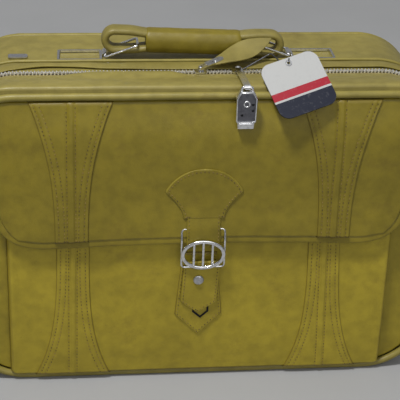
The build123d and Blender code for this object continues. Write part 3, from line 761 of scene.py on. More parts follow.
def make_pocket():
    """Bellows pocket below the flap and the gusset strips along its sides."""
    rows = sheet_rows(pocket_low[2], pocket_top, 74, 0.6, pocket_half)
    pocket = front_sheet("pocket_vinyl", rows, 130, pocket_face, pocket_sheet, pocket_rim, 0.7)
    place(pocket, "lid", vinyl_pocket_painted_light, ["pocket_panel"])

    walls = []
    for side in (-1, 1):
        grid = []
        for z, _, half in sheet_rows(pocket_low[2] + gusset_foot, pocket_top, 50, 0.6, pocket_half):
            start = pocket_face(side * half, z) + gusset_behind
            fold_here = gusset_fold * smooth(z, pocket_low[2], pocket_low[2] + gusset_fold_start)
            row = []
            for share in np.linspace(0, 1, 12):
                x = half - gusset_inset - fold_here * math.sin(math.pi * share)
                y = start + (front - 0.2 - start) * share
                row.append(((side * x, y, z), (side * (x - gusset_sheet), y, z)))
            grid.append(row)
        walls.append(sheet_mesh("pocket_wall", grid))
    gusset = joined("pocket_gusset_vinyl", walls)
    place(gusset, "lid", vinyl_pocket_painted_light, ["pocket_gusset"])


def joined(name, objects):
    """One mesh object from several."""
    shape = bmesh.new()
    for obj in objects:
        shape.from_mesh(obj.data)
    mesh = bpy.data.meshes.new(name)
    shape.to_mesh(mesh)
    shape.free()
    for obj in objects:
        old = obj.data
        bpy.data.objects.remove(obj)
        bpy.data.meshes.remove(old)
    whole = bpy.data.objects.new(name, mesh)
    bpy.context.scene.collection.objects.link(whole)
    return whole


flap_half = flap_high[0]
flap_corner = 44.0
flap_tuck = flap_high[2] + 3.4
flap_inset = 8.0
flap_sheet = 2.4
flap_rim = 1.6
tuck_start = 45.0
top_tuck = 1.8
fold_tuck = 3.0
stand_off_height = 60.0
stand_off_reach = 4.4
corner_drop = 3.2
binding_width = 8.8
binding_height = 2.6
binding_behind = 2.2
binding_end = 8.0
binding_taper = 34.0


def flap_edge(z):
    """Half width of the flap at a height, with its rounded lower corners."""
    below = max(flap_low[2] + flap_corner - z, 0.0)
    rounded = flap_half - flap_corner + math.sqrt(max(flap_corner ** 2 - below ** 2, 0.0))
    return min(rounded, inside_panel(min(z, flap_high[2])))


def flap_face(x, z):
    """Outer face of the flap: it swells over the pocket, with soft dents and a lift at its lower corners."""
    up = min((z - flap_low[2]) / flap_height, 1.0)
    side = abs(x)
    loose = 1 - smooth(up, 0.55, 1.0)
    dents = lumps(x, 0, z, 70.0, 12.3) + 0.3 * lumps(x, 0, z, 22.0, 3.3)
    drop = corner_drop * smooth(side, 195.0, flap_half) * loose
    belly = 1.1 * math.cos(min(side / 80.0, math.pi / 2)) * math.sin(math.pi * up)
    tuck = top_tuck * smooth(z, flap_high[2] - tuck_start, flap_high[2] - 2.0)
    tuck += fold_tuck * smooth(z, flap_high[2], flap_tuck)
    stand_off = stand_off_reach * (1 - smooth(z - flap_low[2], 0.0, stand_off_height))
    return front - flap_out(min(z, flap_high[2])) - loose * dents - belly - stand_off + drop + tuck + 0.5


def flap_sag(x, z):
    """How far the flap hangs below its plain outline: more towards its sides, nothing higher up."""
    hang = 3.4 + 4.0 * min(abs(x) / 175.0, 1.05) ** 1.7 - 3.0 * smooth(abs(x), 185.0, 215.0)
    return hang * (1 - smooth(z - flap_low[2], 0.0, 90.0))


def let_hang(obj):
    """Lets a piece of the flap hang down with it."""
    for vertex in obj.data.vertices:
        vertex.co.z -= flap_sag(vertex.co.x / METRES, vertex.co.z / METRES) * METRES
    return obj


def sheet_half(z):
    """Half width of the flap's sheet, which ends under the binding."""
    return flap_edge(max(z - flap_inset * 0.3, flap_low[2])) - flap_inset


def flap_border(inset, step=3.0):
    """Points (x, z) along the flap's U edge at an inset, from the left top to the right top."""
    radius = flap_corner - inset
    half = flap_half - inset
    low = flap_low[2] + inset
    side_top = flap_tuck - binding_end
    points = []
    for z in np.arange(side_top, low + radius, -step):
        points.append((-min(half, inside_panel(z) - inset), z))
    for angle in np.linspace(180, 270, int(radius * math.pi / 2 / step)):
        a = math.radians(angle)
        points.append((radius - half + radius * math.cos(a), low + radius + radius * math.sin(a)))
    points += [(x, low) for x in np.arange(radius - half + step, 0, step)]
    mirror = [(-x, z) for x, z in reversed(points)]
    return points + [(0.0, low)] + mirror


def make_flap():
    """Flap over the pocket and the flat binding that shows beyond its edge."""
    rows = sheet_rows(flap_low[2] + flap_inset, flap_tuck, 70, 0.7, sheet_half)
    flap = front_sheet("flap_vinyl", rows, 120, flap_face, flap_sheet, flap_rim, 0.7)
    place(let_hang(flap), "flap", vinyl_flap_painted_shade, ["flap_panel"])
    path = []
    sizes = []
    for x, z in flap_border(binding_width / 2):
        path.append((x, flap_face(x, z) + binding_behind, z))
        taper = 0.3 + 0.7 * smooth(flap_tuck - z, binding_end, binding_taper)
        sizes.append(taper * (binding_width + 0.4 * lumps(x, 0, z, 30.0, 1.9)))
    heights = [binding_height + 0.3 * lumps(p[0], 0, p[2], 22.0, 4.2) for p in path]
    binding = tube("flap_binding_vinyl", path, (0.0, -1.0, 0.1), sizes, heights, 16, False, 0.6)
    place(let_hang(binding), "flap", vinyl_flap_trim_painted_shade, ["flap_binding"])


strap_places = (-155.0, 155.0)
strap_waist = 19.6
strap_head = 47.0
strap_foot = 46.4
strap_sheet = 1.8
rib_half = 3.8
rib_seam = rib_half + 1.2
waist_rise = 7.0
edge_rows = (5.0, 11.5)
seam_half = 1.1
flap_curve = 2.45
pocket_curve = 3.4

# Sideways lean of each strap's middle at its waist and at its wide end, as it was sewn on by hand
flap_leans = {"left": (1.0, 3.5), "right": (0.0, 0.0)}
pocket_leans = {"left": (2.3, -2.2), "right": (-8.0, 0.5)}


def strap_half(z, end_height, end_half, waist_height, curve):
    """Half width of an hourglass strap between its waist and its wide end."""
    share = max((z - waist_height) / (end_height - waist_height), 0.0)
    return strap_waist + (end_half - strap_waist) * share ** curve


def strap_rise(offset, half):
    """Height of a strap over what it is sewn to: a raised rib, swollen fields and sunk seams."""
    edge = half - abs(offset)
    rib = 1 - smooth(abs(offset), rib_half - 1.6, rib_half)
    seam = 0.5 * math.exp(-((abs(offset) - rib_seam) / seam_half) ** 2)
    edge_seam = sum(0.4 * math.exp(-((edge - inset) / seam_half) ** 2) for inset in edge_rows)
    field = 0.35 * smooth(edge, 3.0, 9.0) * smooth(abs(offset), rib_half, rib_half + 5.0)
    return strap_sheet + rib + field - seam - edge_seam


def make_strap(name, node, middle_at, low, high, half_at, carrier, body, finish):
    """One sewn strap on the pocket or on the flap, with the lines of its stitches."""
    rows = sheet_rows(low, high, 60, 0.4, half_at, middle_at)

    def face(x, z):
        return carrier(x, z) - strap_rise(x - middle_at(z), half_at(z))

    strap = front_sheet(name, rows, 64, face, strap_sheet + 0.6, 1.3, 0.2)
    place(strap, body, finish, [node])
    lines = []
    heights = np.linspace(low + 2.0, high - 2.0, 90)
    for sign in (-1, 1):
        for inset in edge_rows:
            lines.append([(middle_at(z) + sign * (half_at(z) - inset), z) for z in heights])
        lines.append([(middle_at(z) + sign * rib_seam, z) for z in heights])
    return strap, [[(x, face(x, z), z) for x, z in line] for line in lines]


thread_sides = 6
stitch_length = 2.1
stitch_gap = 2.7
stitch_width = 1.05


def stitch_points(run, line, up):
    """Rings of one stitch: a thread that comes out of the sheet, lies on it and goes back in."""
    side = run.cross(up).normalized()
    rings = []
    for share, lift, size in ((-0.5, -0.5, 0.6), (-0.3, 0.18, 1.0), (0.3, 0.18, 1.0), (0.5, -0.5, 0.6)):
        middle = line + run * (stitch_length * share) + up * (stitch_width * lift)
        reach = stitch_width * size / 2
        ring = []
        for k in range(thread_sides):
            angle = 2 * math.pi * k / thread_sides
            ring.append(middle + (side * math.cos(angle) + up * math.sin(angle)) * reach)
        rings.append(ring)
    return rings


def make_stitches(name, lines, body):
    """Rows of single stitches along lines of points, as one piece."""
    points = []
    faces = []
    up = Vector((0.0, -1.0, 0.0))
    for line in lines:
        line = [Vector(p) for p in line]
        covered = lengths_along(line)
        end = covered[-1] - stitch_length / 2
        for start in np.arange(stitch_length / 2, end, stitch_length + stitch_gap):
            i, share = span_at(covered, start)
            middle = line[i].lerp(line[i + 1], share)
            run = (line[i + 1] - line[i]).normalized()
            out_here = (up - run * up.dot(run)).normalized()
            rings = stitch_points(run, middle, out_here)
            faces += ring_faces(len(points), len(rings), thread_sides)
            points += [p for ring in rings for p in ring]
    stitches = new_mesh(name, points, faces)
    return place(stitches, body, thread)


def make_straps():
    """Four hourglass straps and the lines of their stitching."""
    flap_lines = []
    pocket_lines = []
    flap_waist = flap_low[2] + waist_rise
    pocket_waist = flap_low[2]
    for middle, side in zip(strap_places, ("left", "right")):
        low, high = node_box("flap_strap_" + side)
        at_waist, at_head = flap_leans[side]

        def flap_middle(z):
            share = (z - flap_waist) / (flap_high[2] - flap_waist)
            return middle + at_waist + (at_head - at_waist) * share

        strap, lines = make_strap(
            "flap_strap_vinyl_" + side, "flap_strap_" + side, flap_middle, low[2], flap_tuck,
            lambda z: strap_half(z, flap_high[2], strap_head, flap_waist, flap_curve), flap_face, "flap",
            vinyl_flap_trim_painted_shade,
        )
        let_hang(strap)
        flap_lines += [[(x, y, z - flap_sag(x, z)) for x, y, z in line] for line in lines]
        low, high = node_box("pocket_strap_" + side)
        waist_lean, foot_lean = pocket_leans[side]

        def pocket_middle(z):
            share = (pocket_waist - z) / (pocket_waist - pocket_low[2])
            return middle + waist_lean + (foot_lean - waist_lean) * share

        strap, lines = make_strap(
            "pocket_strap_vinyl_" + side, "pocket_strap_" + side, pocket_middle, low[2], high[2],
            lambda z: strap_half(z, pocket_low[2], strap_foot, pocket_waist, pocket_curve), pocket_face,
            "lid", vinyl_pocket_trim_painted_light,
        )
        pocket_lines += lines
    return flap_lines, pocket_lines


def inset_outline(points, inset):
    """Closed outline (x, z) moved inwards by an inset; the outline runs counter-clockwise."""
    moved = []
    count = len(points)
    for i in range(count):
        ax, az = points[i - 1]
        bx, bz = points[(i + 1) % count]
        length = math.hypot(bx - ax, bz - az)
        moved.append((points[i][0] - (bz - az) / length * inset, points[i][1] + (bx - ax) / length * inset))
    return moved


def rows_outline(rows):
    """Counter-clockwise outline of a sheet's rows."""
    return [(right, z) for z, _, right in rows] + [(left, z) for z, left, _ in reversed(rows)]


fan_wide = fan_high[0]
fan_corner_height = 270.0
fan_neck = 24.0
fan_curve = 1.7
tip_shoulder = 118.0
tip_lean = 3.6
tip_stand_off = 4.1
patch_shoulder = 98.0
patch_top = 186.0
patch_taper = 0.094
patch_lean = 2.6
patch_rise = 1.7


def fan_half(z):
    """Half width of the fan-shaped patch above the buckle."""
    if z <= fan_corner_height:
        share = (z - fan_low[2]) / (fan_corner_height - fan_low[2])
        return fan_neck + (fan_wide - fan_neck) * share ** fan_curve
    rise = fan_high[2] - fan_corner_height
    radius = (fan_wide ** 2 + rise ** 2) / (2 * rise)
    return math.sqrt(max(radius ** 2 - (z - fan_high[2] + radius) ** 2, 0.0))


def fan_face(x, z):
    """Outer face of the fan patch on the flap."""
    return flap_face(x, z) - patch_rise


def tongue_face(x, z):
    """Outer face of the short tongue, which bends from the fan over the buckle's loop."""
    bend = 2.8 * smooth(z, tongue_high[2] - 20.0, tongue_high[2] + 2.0)
    return tongue_low[1] + bend + 0.4 * abs(x / tongue_high[0]) ** 3


def pointed_half(z, box_low, box_high, shoulder):
    """Half width of a strap end with a pointed foot."""
    if z >= shoulder:
        return box_high[0]
    return box_high[0] * max((z - box_low[2]) / (shoulder - box_low[2]), 0.0)


def tip_face(x, z):
    """Outer face of the strap's tip, which stands off the pocket below the buckle."""
    share = (z - tip_low[2]) / (tip_high[2] - tip_low[2])
    reach = front - tip_low[1] - tip_stand_off * (1 - share)
    curl = 0.9 * math.sin(math.pi * share) + 0.4 * lumps(x, 0, z, 18.0, 5.0)
    return front - reach - curl + 0.5 * abs(x / tip_high[0]) ** 3


def patch_face(x, z):
    """Outer face of the pointed patch behind the strap's tip."""
    return pocket_face(x, z) - patch_rise


def make_small_leathers():
    """Fan, tongue, tip and base patch, each with its line of stitches."""
    flap_lines = []
    pocket_lines = []

    def sheet(name, node, low, high, half_at, face, thickness, on_flap, inset, lean_at=lambda z: 0.0):
        rows = sheet_rows(low, high, 40, 0.6, lambda z: max(half_at(z), 0.3), lean_at)
        piece = front_sheet(name, rows, 44, face, thickness, 1.3, 0.5)
        # The tip takes the pocket's lighter trim as painted light where it catches the light; fan and tongue
        # take the flap's darker trim as painted shade
        finish = vinyl_flap_trim_painted_shade if face in (fan_face, tongue_face) else vinyl_pocket_trim_painted_light
        place(piece, "flap" if on_flap else "lid", finish, [node])
        outline = inset_outline(rows_outline(rows), inset)
        lines = flap_lines if on_flap else pocket_lines
        lines.append([(x, face(x, z), z) for x, z in outline])

    def tip_half(z):
        return pointed_half(z, tip_low, tip_high, tip_shoulder)

    def tip_middle(z):
        return -tip_lean * (tip_high[2] - z) / (tip_high[2] - tip_low[2])

    def patch_half(z):
        plain = pointed_half(z, patch_low, patch_high, patch_shoulder)
        return plain - patch_taper * max(z - patch_shoulder, 0.0)

    sheet("fan_patch_vinyl", "fan_patch", fan_low[2], fan_high[2], fan_half, fan_face, 1.9, True, 3.2)
    sheet(
        "strap_tongue_vinyl", "strap_tongue", tongue_low[2], tongue_high[2], lambda z: tongue_high[0],
        tongue_face, 2.2, True, 2.6,
    )
    sheet(
        "strap_tip_vinyl", "strap_tip", tip_low[2], tip_high[2], tip_half, tip_face, 2.4, True, 2.8,
        tip_middle,
    )
    sheet(
        "strap_base_vinyl", "strap_base_patch", patch_low[2], patch_top, patch_half, patch_face, 1.9, False,
        3.0, lambda z: -patch_lean,
    )
    return flap_lines, pocket_lines


tooth_pitch = 4.2
tooth_width = 1.7
tooth_foot = 3.8
tooth_reach = 0.9
tooth_height = 2.8
tooth_lift = 1.3
tape_inset = 0.6
tape_sheet = 1.1
placket_sheet = 1.6
placket_rise = 2.6


def make_zip():
    """Zip tapes and the single interlocked teeth along the whole arch."""
    strip = arch_part(body_loop(tape_inset, 4.0), zip_end)
    for side, low, high, body in (
        ("front", tape_front_low, tape_front_high, "lid"),
        ("rear", tape_rear_low, tape_rear_high, "case"),
    ):
        def swell(x, y, z, share):
            seam = 1 - share if side == "front" else share
            lip = lip_lift(x, z) * smooth(seam, 0.0, 1.0) if side == "front" else 0.0
            return 0.25 * lumps(x, y, z, 14.0, 2.0) + 0.5 * seam + lip

        name = "zip_tape_cloth_" + side
        sheet = wall_sheet(name, strip, lambda x, z: (low[1], high[1]), swell, tape_sheet)
        place(sheet, body, tape, ["zip_tape_" + side])
    for side, sign, body, phase in (("front", -1, "lid", 0.0), ("rear", 1, "case", 0.5)):
        teeth = chain_teeth("zip_teeth_metal_" + side, strip, sign, phase)
        place(teeth, body, zip_metal, ["zip_teeth_" + side])


def chain_teeth(name, strip, sign, phase):
    """Teeth of one half of the chain; each has a foot on its tape and a rounded head past the middle."""
    covered = lengths_along([p[:2] for p in strip])
    points = []
    faces = []
    foot = chain_middle + sign * tooth_foot
    profile = [(0.0, 0.5), (0.35, 0.5), (0.55, 0.36), (0.85, 0.46), (1.0, 0.28)]
    section = [(-0.5, 0.7), (0.2, 1.0), (0.5, 0.6)]
    corners = [(-1, *level) for level in section] + [(1, *level) for level in reversed(section)]
    head = chain_middle - sign * tooth_reach
    for place_along in np.arange(tooth_pitch * (0.5 + phase), covered[-1] - tooth_pitch, tooth_pitch):
        i, share = span_at(covered, place_along)
        x, z, out_x, out_z = [a + (b - a) * share for a, b in zip(strip[i], strip[i + 1])]
        out = Vector((out_x, 0.0, out_z)).normalized()
        run = Vector((-out.z, 0.0, out.x))
        faces += ring_faces(len(points), len(profile), len(corners))
        for along, half in profile:
            y = foot + (head - foot) * along
            for side, rise, narrow in corners:
                shift = run * (side * tooth_width * half * narrow * 1.15)
                shift += out * (tooth_height * rise + tooth_lift)
                points.append((x + shift.x, y, z + shift.z))
    return new_mesh(name, points, faces, False)


def make_placket():
    """Turned-over strip behind the zip with a wandering front edge, and the welt sewn behind it."""
    loop = body_loop(-0.2, 5.0)
    strip = arch_part(loop, zip_end + 2.0)
    back = placket_high[1]

    # Front edge along the top: forward at the corner, well back where the teeth show, and forward again
    # towards the sliders
    edge_at = cubic_through(
        [-half_width, -238.0, -180.0, -110.0, -30.0, 60.0, 150.0, half_width],
        [74.0, 74.0, 86.0, 79.5, 76.0, 76.5, 79.0, 78.0],
    )

    def near_edge(x, z):
        wander = 1.4 * lumps(x, 0, z, 60.0, 4.4) * (1 - top_share(z)) + 0.4 * lumps(x, 0, z, 24.0, 8.8)
        return front + edge_at(x) + wander

    def rise(x, y, z, share):
        lift = placket_rise + math.sin(math.pi * min(share * 1.2, 1.0)) + 0.5 * lumps(x, y, z, 26.0, 3.7)
        return lift - 0.9 * smooth(share, 0.86, 0.97)

    sheet = wall_sheet(
        "zip_placket_vinyl", strip, lambda x, z: (near_edge(x, z), back), rise, placket_sheet
    )
    place(sheet, "case", vinyl_trim_painted_sheen, ["zip_placket"])

    middle = (welt_low[1] + welt_high[1]) / 2
    radius = (welt_high[1] - welt_low[1]) / 2
    outer = welt_high[2] - radius - top
    path = []
    ups = []
    for x, z, out_x, out_z in arch_part(body_loop(-outer, 5.0), zip_end):
        wave = 0.4 * lumps(x, 0, z, 50.0, 6.6)
        path.append((x + out_x * wave, middle + 1.2 * lumps(x, 9.0, z, 90.0, 1.1), z + out_z * wave))
        ups.append((out_x, 0.0, out_z))
    welt = tube("tray_welt_vinyl", path, ups, 2 * radius, 2 * radius, 12)
    place(welt, "case", vinyl_piping_painted_light, ["tray_welt"])


handle_droop = 0.036
sleeve_extra = 1.0
sleeve_end = 5.0
sleeve_rings = 54
sleeve_sides = 40
ridge_height = 1.1
ridge_angle = 2.1
eye_strap = 9.5
eye_tail = 12.0
eye_pinch = 0.30


def make_handle():
    """Padded sleeve and the two rolled eyes that hold the bails."""
    middle_z = (sleeve_low[2] + sleeve_high[2]) / 2
    deep_half = (sleeve_high[1] - sleeve_low[1]) / 2
    tall_half = (sleeve_high[2] - sleeve_low[2]) / 2 + sleeve_extra
    points = []
    for x_share in edge_spaced(sleeve_rings, 0.8):
        x = sleeve_low[0] + (sleeve_high[0] - sleeve_low[0]) * x_share
        near_end = min(x - sleeve_low[0], sleeve_high[0] - x)
        size = 0.86 + 0.14 * rim_lift(near_end, sleeve_end)
        for k in range(sleeve_sides):
            angle = 2 * math.pi * k / sleeve_sides
            c, s = math.cos(angle), math.sin(angle)
            bulge = 0.25 * lumps(x, 20 * c, 20 * s, 16.0, 2.7) + 0.2 * lumps(x, 20 * c, 20 * s, 6.0, 5.7)
            ridge = ridge_height * math.exp(-((angle - ridge_angle) / 0.12) ** 2) * smooth(near_end, 0.0, 4.0)
            y = handle_place + (deep_half * size + bulge - 0.4) * math.copysign(abs(c) ** 0.8, c)
            z = middle_z + (tall_half * size + bulge + ridge - 0.6) * math.copysign(abs(s) ** 0.8, s)
            points.append((x, y, z - handle_droop * (x - sleeve_low[0])))
    faces = ring_faces(0, sleeve_rings, sleeve_sides)
    sleeve = new_mesh("handle_sleeve_vinyl", points, faces)
    place(sleeve, "handle", vinyl_handle, ["handle_sleeve"])

    eye_half = (core_high[2] - core_low[2] - eye_strap) / 2
    eye_width = core_high[1] - core_low[1]
    eyes = []
    for side, outer in ((-1, core_low[0]), (1, core_high[0])):
        inner = sleeve_low[0] + eye_tail if side < 0 else sleeve_high[0] - eye_tail
        turn = outer - side * (eye_half + eye_strap / 2)
        leg = []
        for share in np.linspace(0, 1, 14):
            pinch = eye_pinch * eye_half * (1 - smooth(share, 0.0, 0.75))
            leg.append((inner + (turn - inner) * share, eye_half - pinch))
        path = [(x, handle_place, middle_z + rise) for x, rise in leg]
        for angle in np.linspace(90, -90, 18)[1:-1]:
            x = turn + side * eye_half * math.cos(math.radians(angle))
            path.append((x, handle_place, middle_z + eye_half * math.sin(math.radians(angle))))
        path += [(x, handle_place, middle_z - rise) for x, rise in reversed(leg)]
        path = [(x, y, z - handle_droop * (x - sleeve_low[0])) for x, y, z in path]
        wide = [eye_strap * (1.0 + 0.05 * lumps(p[0], 0, p[2], 9.0, 7.1)) for p in path]
        deep = [eye_width * (0.97 + 0.06 * lumps(p[0], 5, p[2], 12.0, 9.1)) for p in path]
        eyes.append(tube("handle_eye", path, (0.0, 1.0, 0.0), wide, deep, 20, False, 0.75))
    core = joined("handle_eyes_vinyl", eyes)
    place(core, "handle", vinyl_trim_painted_sheen, ["handle_core"])


buckle_rim = 4.5
bar_places = (-11.0, 0.0, 11.0)
bar_width = 3.0


def make_buckle():
    """Oval chrome grille on the front of the strap."""
    middle_z = (plate_low[2] + plate_high[2]) / 2
    thick = plate_high[1] - plate_low[1]
    y = (plate_low[1] + plate_high[1]) / 2
    across = plate_high[0] - buckle_rim / 2
    tall = (plate_high[2] - plate_low[2]) / 2 - buckle_rim / 2
    path = []
    for angle in np.linspace(0, 2 * math.pi, 80, endpoint=False):
        path.append((across * math.cos(angle), y, middle_z + tall * math.sin(angle)))
    parts = [tube("buckle_ring", path, (0.0, 1.0, 0.0), buckle_rim, thick, 14, True, 0.8)]
    for x in bar_places:
        reach = tall * math.sqrt(1 - (x / across) ** 2)
        line = [(x, y, middle_z + reach * s) for s in np.linspace(-1, 1, 9)]
        parts.append(tube("buckle_bar", line, (0.0, 1.0, 0.0), bar_width, thick * 0.8, 12, False, 0.8))
    buckle = joined("buckle_grille_chrome", parts)
    place(buckle, "flap", chrome, ["buckle_plate"])


leaf_turn = math.radians(24.0)


def make_leaf():
    """Leaf of the left slider: the node's shape with soft edges, a further turn and a slight warp."""
    soft = copy_of("leaf_pull", "leaf_pull_leather")
    remesh = soft.modifiers.new("even", "REMESH")
    remesh.mode = "VOXEL"
    remesh.voxel_size = 0.6 * METRES
    relax = soft.modifiers.new("relax", "SMOOTH")
    relax.factor = 0.5
    relax.iterations = 4
    bake(soft)
    across = sorted(soft.data.vertices, key=lambda v: v.co.x)
    end_count = len(across) // 20
    root = sum((v.co for v in across[:end_count]), Vector()) / end_count
    tip = sum((v.co for v in across[-end_count:]), Vector()) / end_count
    run = (tip - root).normalized()
    for vertex in soft.data.vertices:
        along = (vertex.co - root).dot(run) / (tip - root).length
        turn = Matrix.Rotation(leaf_turn * smooth(along, 0.15, 0.75), 3, run)
        vertex.co = root + turn @ (vertex.co - root)
        x, y, z = vertex.co / METRES
        vertex.co.z += 0.45 * lumps(x, y, 0, 24.0, 5.2) * METRES
    shade_smooth(soft)
    place(soft, "leaf", vinyl_trim_painted_sheen, ["leaf_pull"])


def bake(obj):
    """Replaces an object's mesh by the result of its modifiers."""
    graph = bpy.context.evaluated_depsgraph_get()
    result = bpy.data.meshes.new_from_object(obj.evaluated_get(graph))
    obj.modifiers.clear()
    obj.data = result


sharp_angle = 50.0


def soften_edges(obj, width, segments):
    """Bevels the edges of an object."""
    bevel = obj.modifiers.new("soft", "BEVEL")
    bevel.width = width * METRES
    bevel.segments = segments
    bevel.limit_method = "ANGLE"
    bake(obj)


def slab(name, outline, near, far, bevel_width):
    """Slab with the given front-view outline and softened edges."""
    count = len(outline)
    points = [(x, near, z) for x, z in outline] + [(x, far, z) for x, z in outline]
    faces = [tuple(range(count)), tuple(range(2 * count - 1, count - 1, -1))]
    for i in range(count):
        j = (i + 1) % count
        faces.append((i, j, count + j, count + i))
    piece = new_mesh(name, points, faces)
    soften_edges(piece, bevel_width, 3)
    shade_smooth(piece, sharp_angle)
    return piece


def dome(name, x, base, z, radius, height):
    """Half ellipsoid that stands out towards the front."""
    sides = 20
    rings = 6
    points = []
    for r in range(1, rings + 1):
        tilt = math.pi / 2 * r / rings
        across = radius * math.sin(tilt)
        y = base - height * math.cos(tilt)
        for k in range(sides):
            turn = 2 * math.pi * k / sides
            points.append((x + across * math.cos(turn), y, z + across * math.sin(turn)))
    # The narrow end runs up to one point, so the flat face there goes
    faces = ring_faces(0, rings, sides)
    faces.remove(tuple(range(sides - 1, -1, -1)))
    points.append((x, base - height, z))
    for k in range(sides):
        faces.append((rings * sides, k, (k + 1) % sides))
    return new_mesh(name, points, faces)


rivet_places = ((0.60, 0.66), (0.60, 0.50), (-0.42, 0.38))
rivet_radius = 1.7
rivet_height = 0.9
face_sunk = 1.5


def make_lock():
    """Padlock: shell with clipped shoulders, raised rim, sunk dark face, key ring, rivets and lower clip."""
    half = (lock_high[0] - lock_low[0]) / 2
    middle = (lock_high[0] + lock_low[0]) / 2
    low, high = lock_low[2], lock_high[2]
    near, far = lock_low[1], lock_high[1]
    sunk = near + face_sunk

    def mirrored(right):
        return [(middle + x, z) for x, z in right] + [(middle - x, z) for x, z in reversed(right)]

    shell_line = mirrored([
        (half - 4.5, high), (half, high - 8.0), (half - 0.4, low + 9.0), (half - 2.4, low + 7.0),
        (half - 2.8, low),
    ])
    shell = slab("lock_back", shell_line, sunk, far, 0.8)
    rim_line = mirrored([(half - 5.4, high - 1.1), (half - 1.1, high - 8.6), (half - 1.5, low + 9.4)])
    rim_path = [(x, sunk - 0.2, z) for x, z in rim_line]
    rim = tube("lock_rim", rim_path, (0.0, -1.0, 0.0), 2.0, 2.4, 10, True)
    clip_line = mirrored([(half - 3.6, low + 7.4), (half - 3.6, low + 0.8)])
    clip = slab("lock_clip", clip_line, near, sunk + 0.4, 0.6)
    body = joined("lock_shell_chrome", [shell, rim, clip])
    shade_smooth(body, sharp_angle)
    place(body, "padlock", chrome, ["lock_body"])
    face_line = mirrored([(half - 6.0, high - 2.0), (half - 2.0, high - 9.0), (half - 2.4, low + 9.2)])
    face = slab("lock_face_steel", face_line, sunk - 0.25, sunk + 0.2, 0.1)
    place(face, "padlock", dark_steel)

    key_low, key_high = node_box("lock_cylinder")
    key_radius = (key_high[0] - key_low[0]) / 2 - 1.0
    key_z = (key_low[2] + key_high[2]) / 2
    circle = [2 * math.pi * k / 28 for k in range(28)]
    line = [(middle + key_radius * math.cos(a), sunk - 0.6, key_z + key_radius * math.sin(a)) for a in circle]
    ring = tube("lock_key_ring_chrome", line, (0.0, -1.0, 0.0), 2.0, 2.2, 10, True)
    place(ring, "padlock", chrome, ["lock_cylinder"])

    domes = []
    for x_share, z_share in rivet_places:
        x = middle + x_share * half
        z = low + z_share * (high - low)
        domes.append(dome("lock_rivet", x, sunk - 0.2, z, rivet_radius, rivet_height))
    rivets = joined("lock_rivets_steel", domes)
    shade_smooth(rivets)
    place(rivets, "padlock", black_steel, ["lock_rivets"])


tag_tilt = 41.0
tag_turn = 20.0


def make_tag():
    """Plain colour-banded luggage tag; the bands follow the plate's own plane."""
    tilt = math.radians(tag_tilt)
    turn = math.radians(tag_turn)
    across = Vector((math.cos(turn), math.sin(turn) * math.cos(tilt), math.sin(turn) * math.sin(tilt)))
    normal = Vector((0.0, -math.sin(tilt), math.cos(tilt)))
    upward = normal.cross(across)
    plate = copy_of("tag_plate", "tag_plate_card")
    soften_edges(plate, 0.4, 2)
    mesh = plate.data
    spread = [(v.co.dot(across), v.co.dot(upward)) for v in mesh.vertices]
    low = [min(p[i] for p in spread) for i in (0, 1)]
    high = [max(p[i] for p in spread) for i in (0, 1)]
    layer = mesh.uv_layers.new(name="plate")
    for loop in mesh.loops:
        layer.data[loop.index].uv = [
            (spread[loop.vertex_index][i] - low[i]) / (high[i] - low[i]) for i in (0, 1)
        ]
    place(plate, "tag", make_card(), ["tag_plate"])


def make_card():
    """Glossy card: white field, navy foot and a red line between them, with light scuffs."""
    nodes = Nodes("banded_card")
    height = nodes.texture("ShaderNodeSeparateXYZ", "Y", {"Vector": nodes.coordinates["UV"]})
    navy = (0.005, 0.007, 0.018)
    red = (0.28, 0.009, 0.02)
    white = (0.37, 0.37, 0.36)
    bands = nodes.ramp(height, [(0.0, navy), (0.30, white), (0.335, red), (0.47, white)], "CONSTANT")
    scuffs = nodes.ramp(nodes.noise(240.0, 5.0), [(0.55, grey(0.0)), (0.8, grey(0.22))])
    colour = nodes.mix(scuffs, bands, grey(0.25))
    gloss = nodes.ramp(nodes.noise(130.0, 3.0), [(0.3, grey(0.42)), (0.7, grey(0.56))])
    ripple = nodes.bump(nodes.noise(60.0, 2.0), 0.0004, 0.3)
    nodes.set(Base_Color=colour, Roughness=gloss, Normal=ripple, Specular_IOR_Level=0.25)
    return nodes.material


def make_board():
    """Brown fibreboard of the hidden stiffeners."""
    nodes = Nodes("fibreboard")
    fibres = nodes.noise(350.0, 5.0)
    colour = nodes.ramp(fibres, [(0.3, (0.10, 0.075, 0.045, 1.0)), (0.7, (0.19, 0.15, 0.095, 1.0))])
    nodes.set(Base_Color=colour, Roughness=0.88, Normal=nodes.bump(fibres, 0.0003, 0.6))
    return nodes.material


def dress_nodes():
    """Finishes of the CAD pieces that keep their own shape."""
    by_slot = {
        "vinyl": vinyl, "vinyl_trim": vinyl_trim, "chrome": chrome, "steel": steel, "zip_tape": tape,
        "zip_metal": zip_metal, "stiffener": make_board(),
    }
    darker = {"strap_catch": black_steel, "tag_hook": dark_steel}
    for part in frame["record"]["subparts"]:
        node = bpy.data.objects[part["node"]]
        if node.hide_render:
            continue
        node.data.materials.clear()
        node.data.materials.append(darker.get(part["node"], by_slot[part["material_slot"]]))


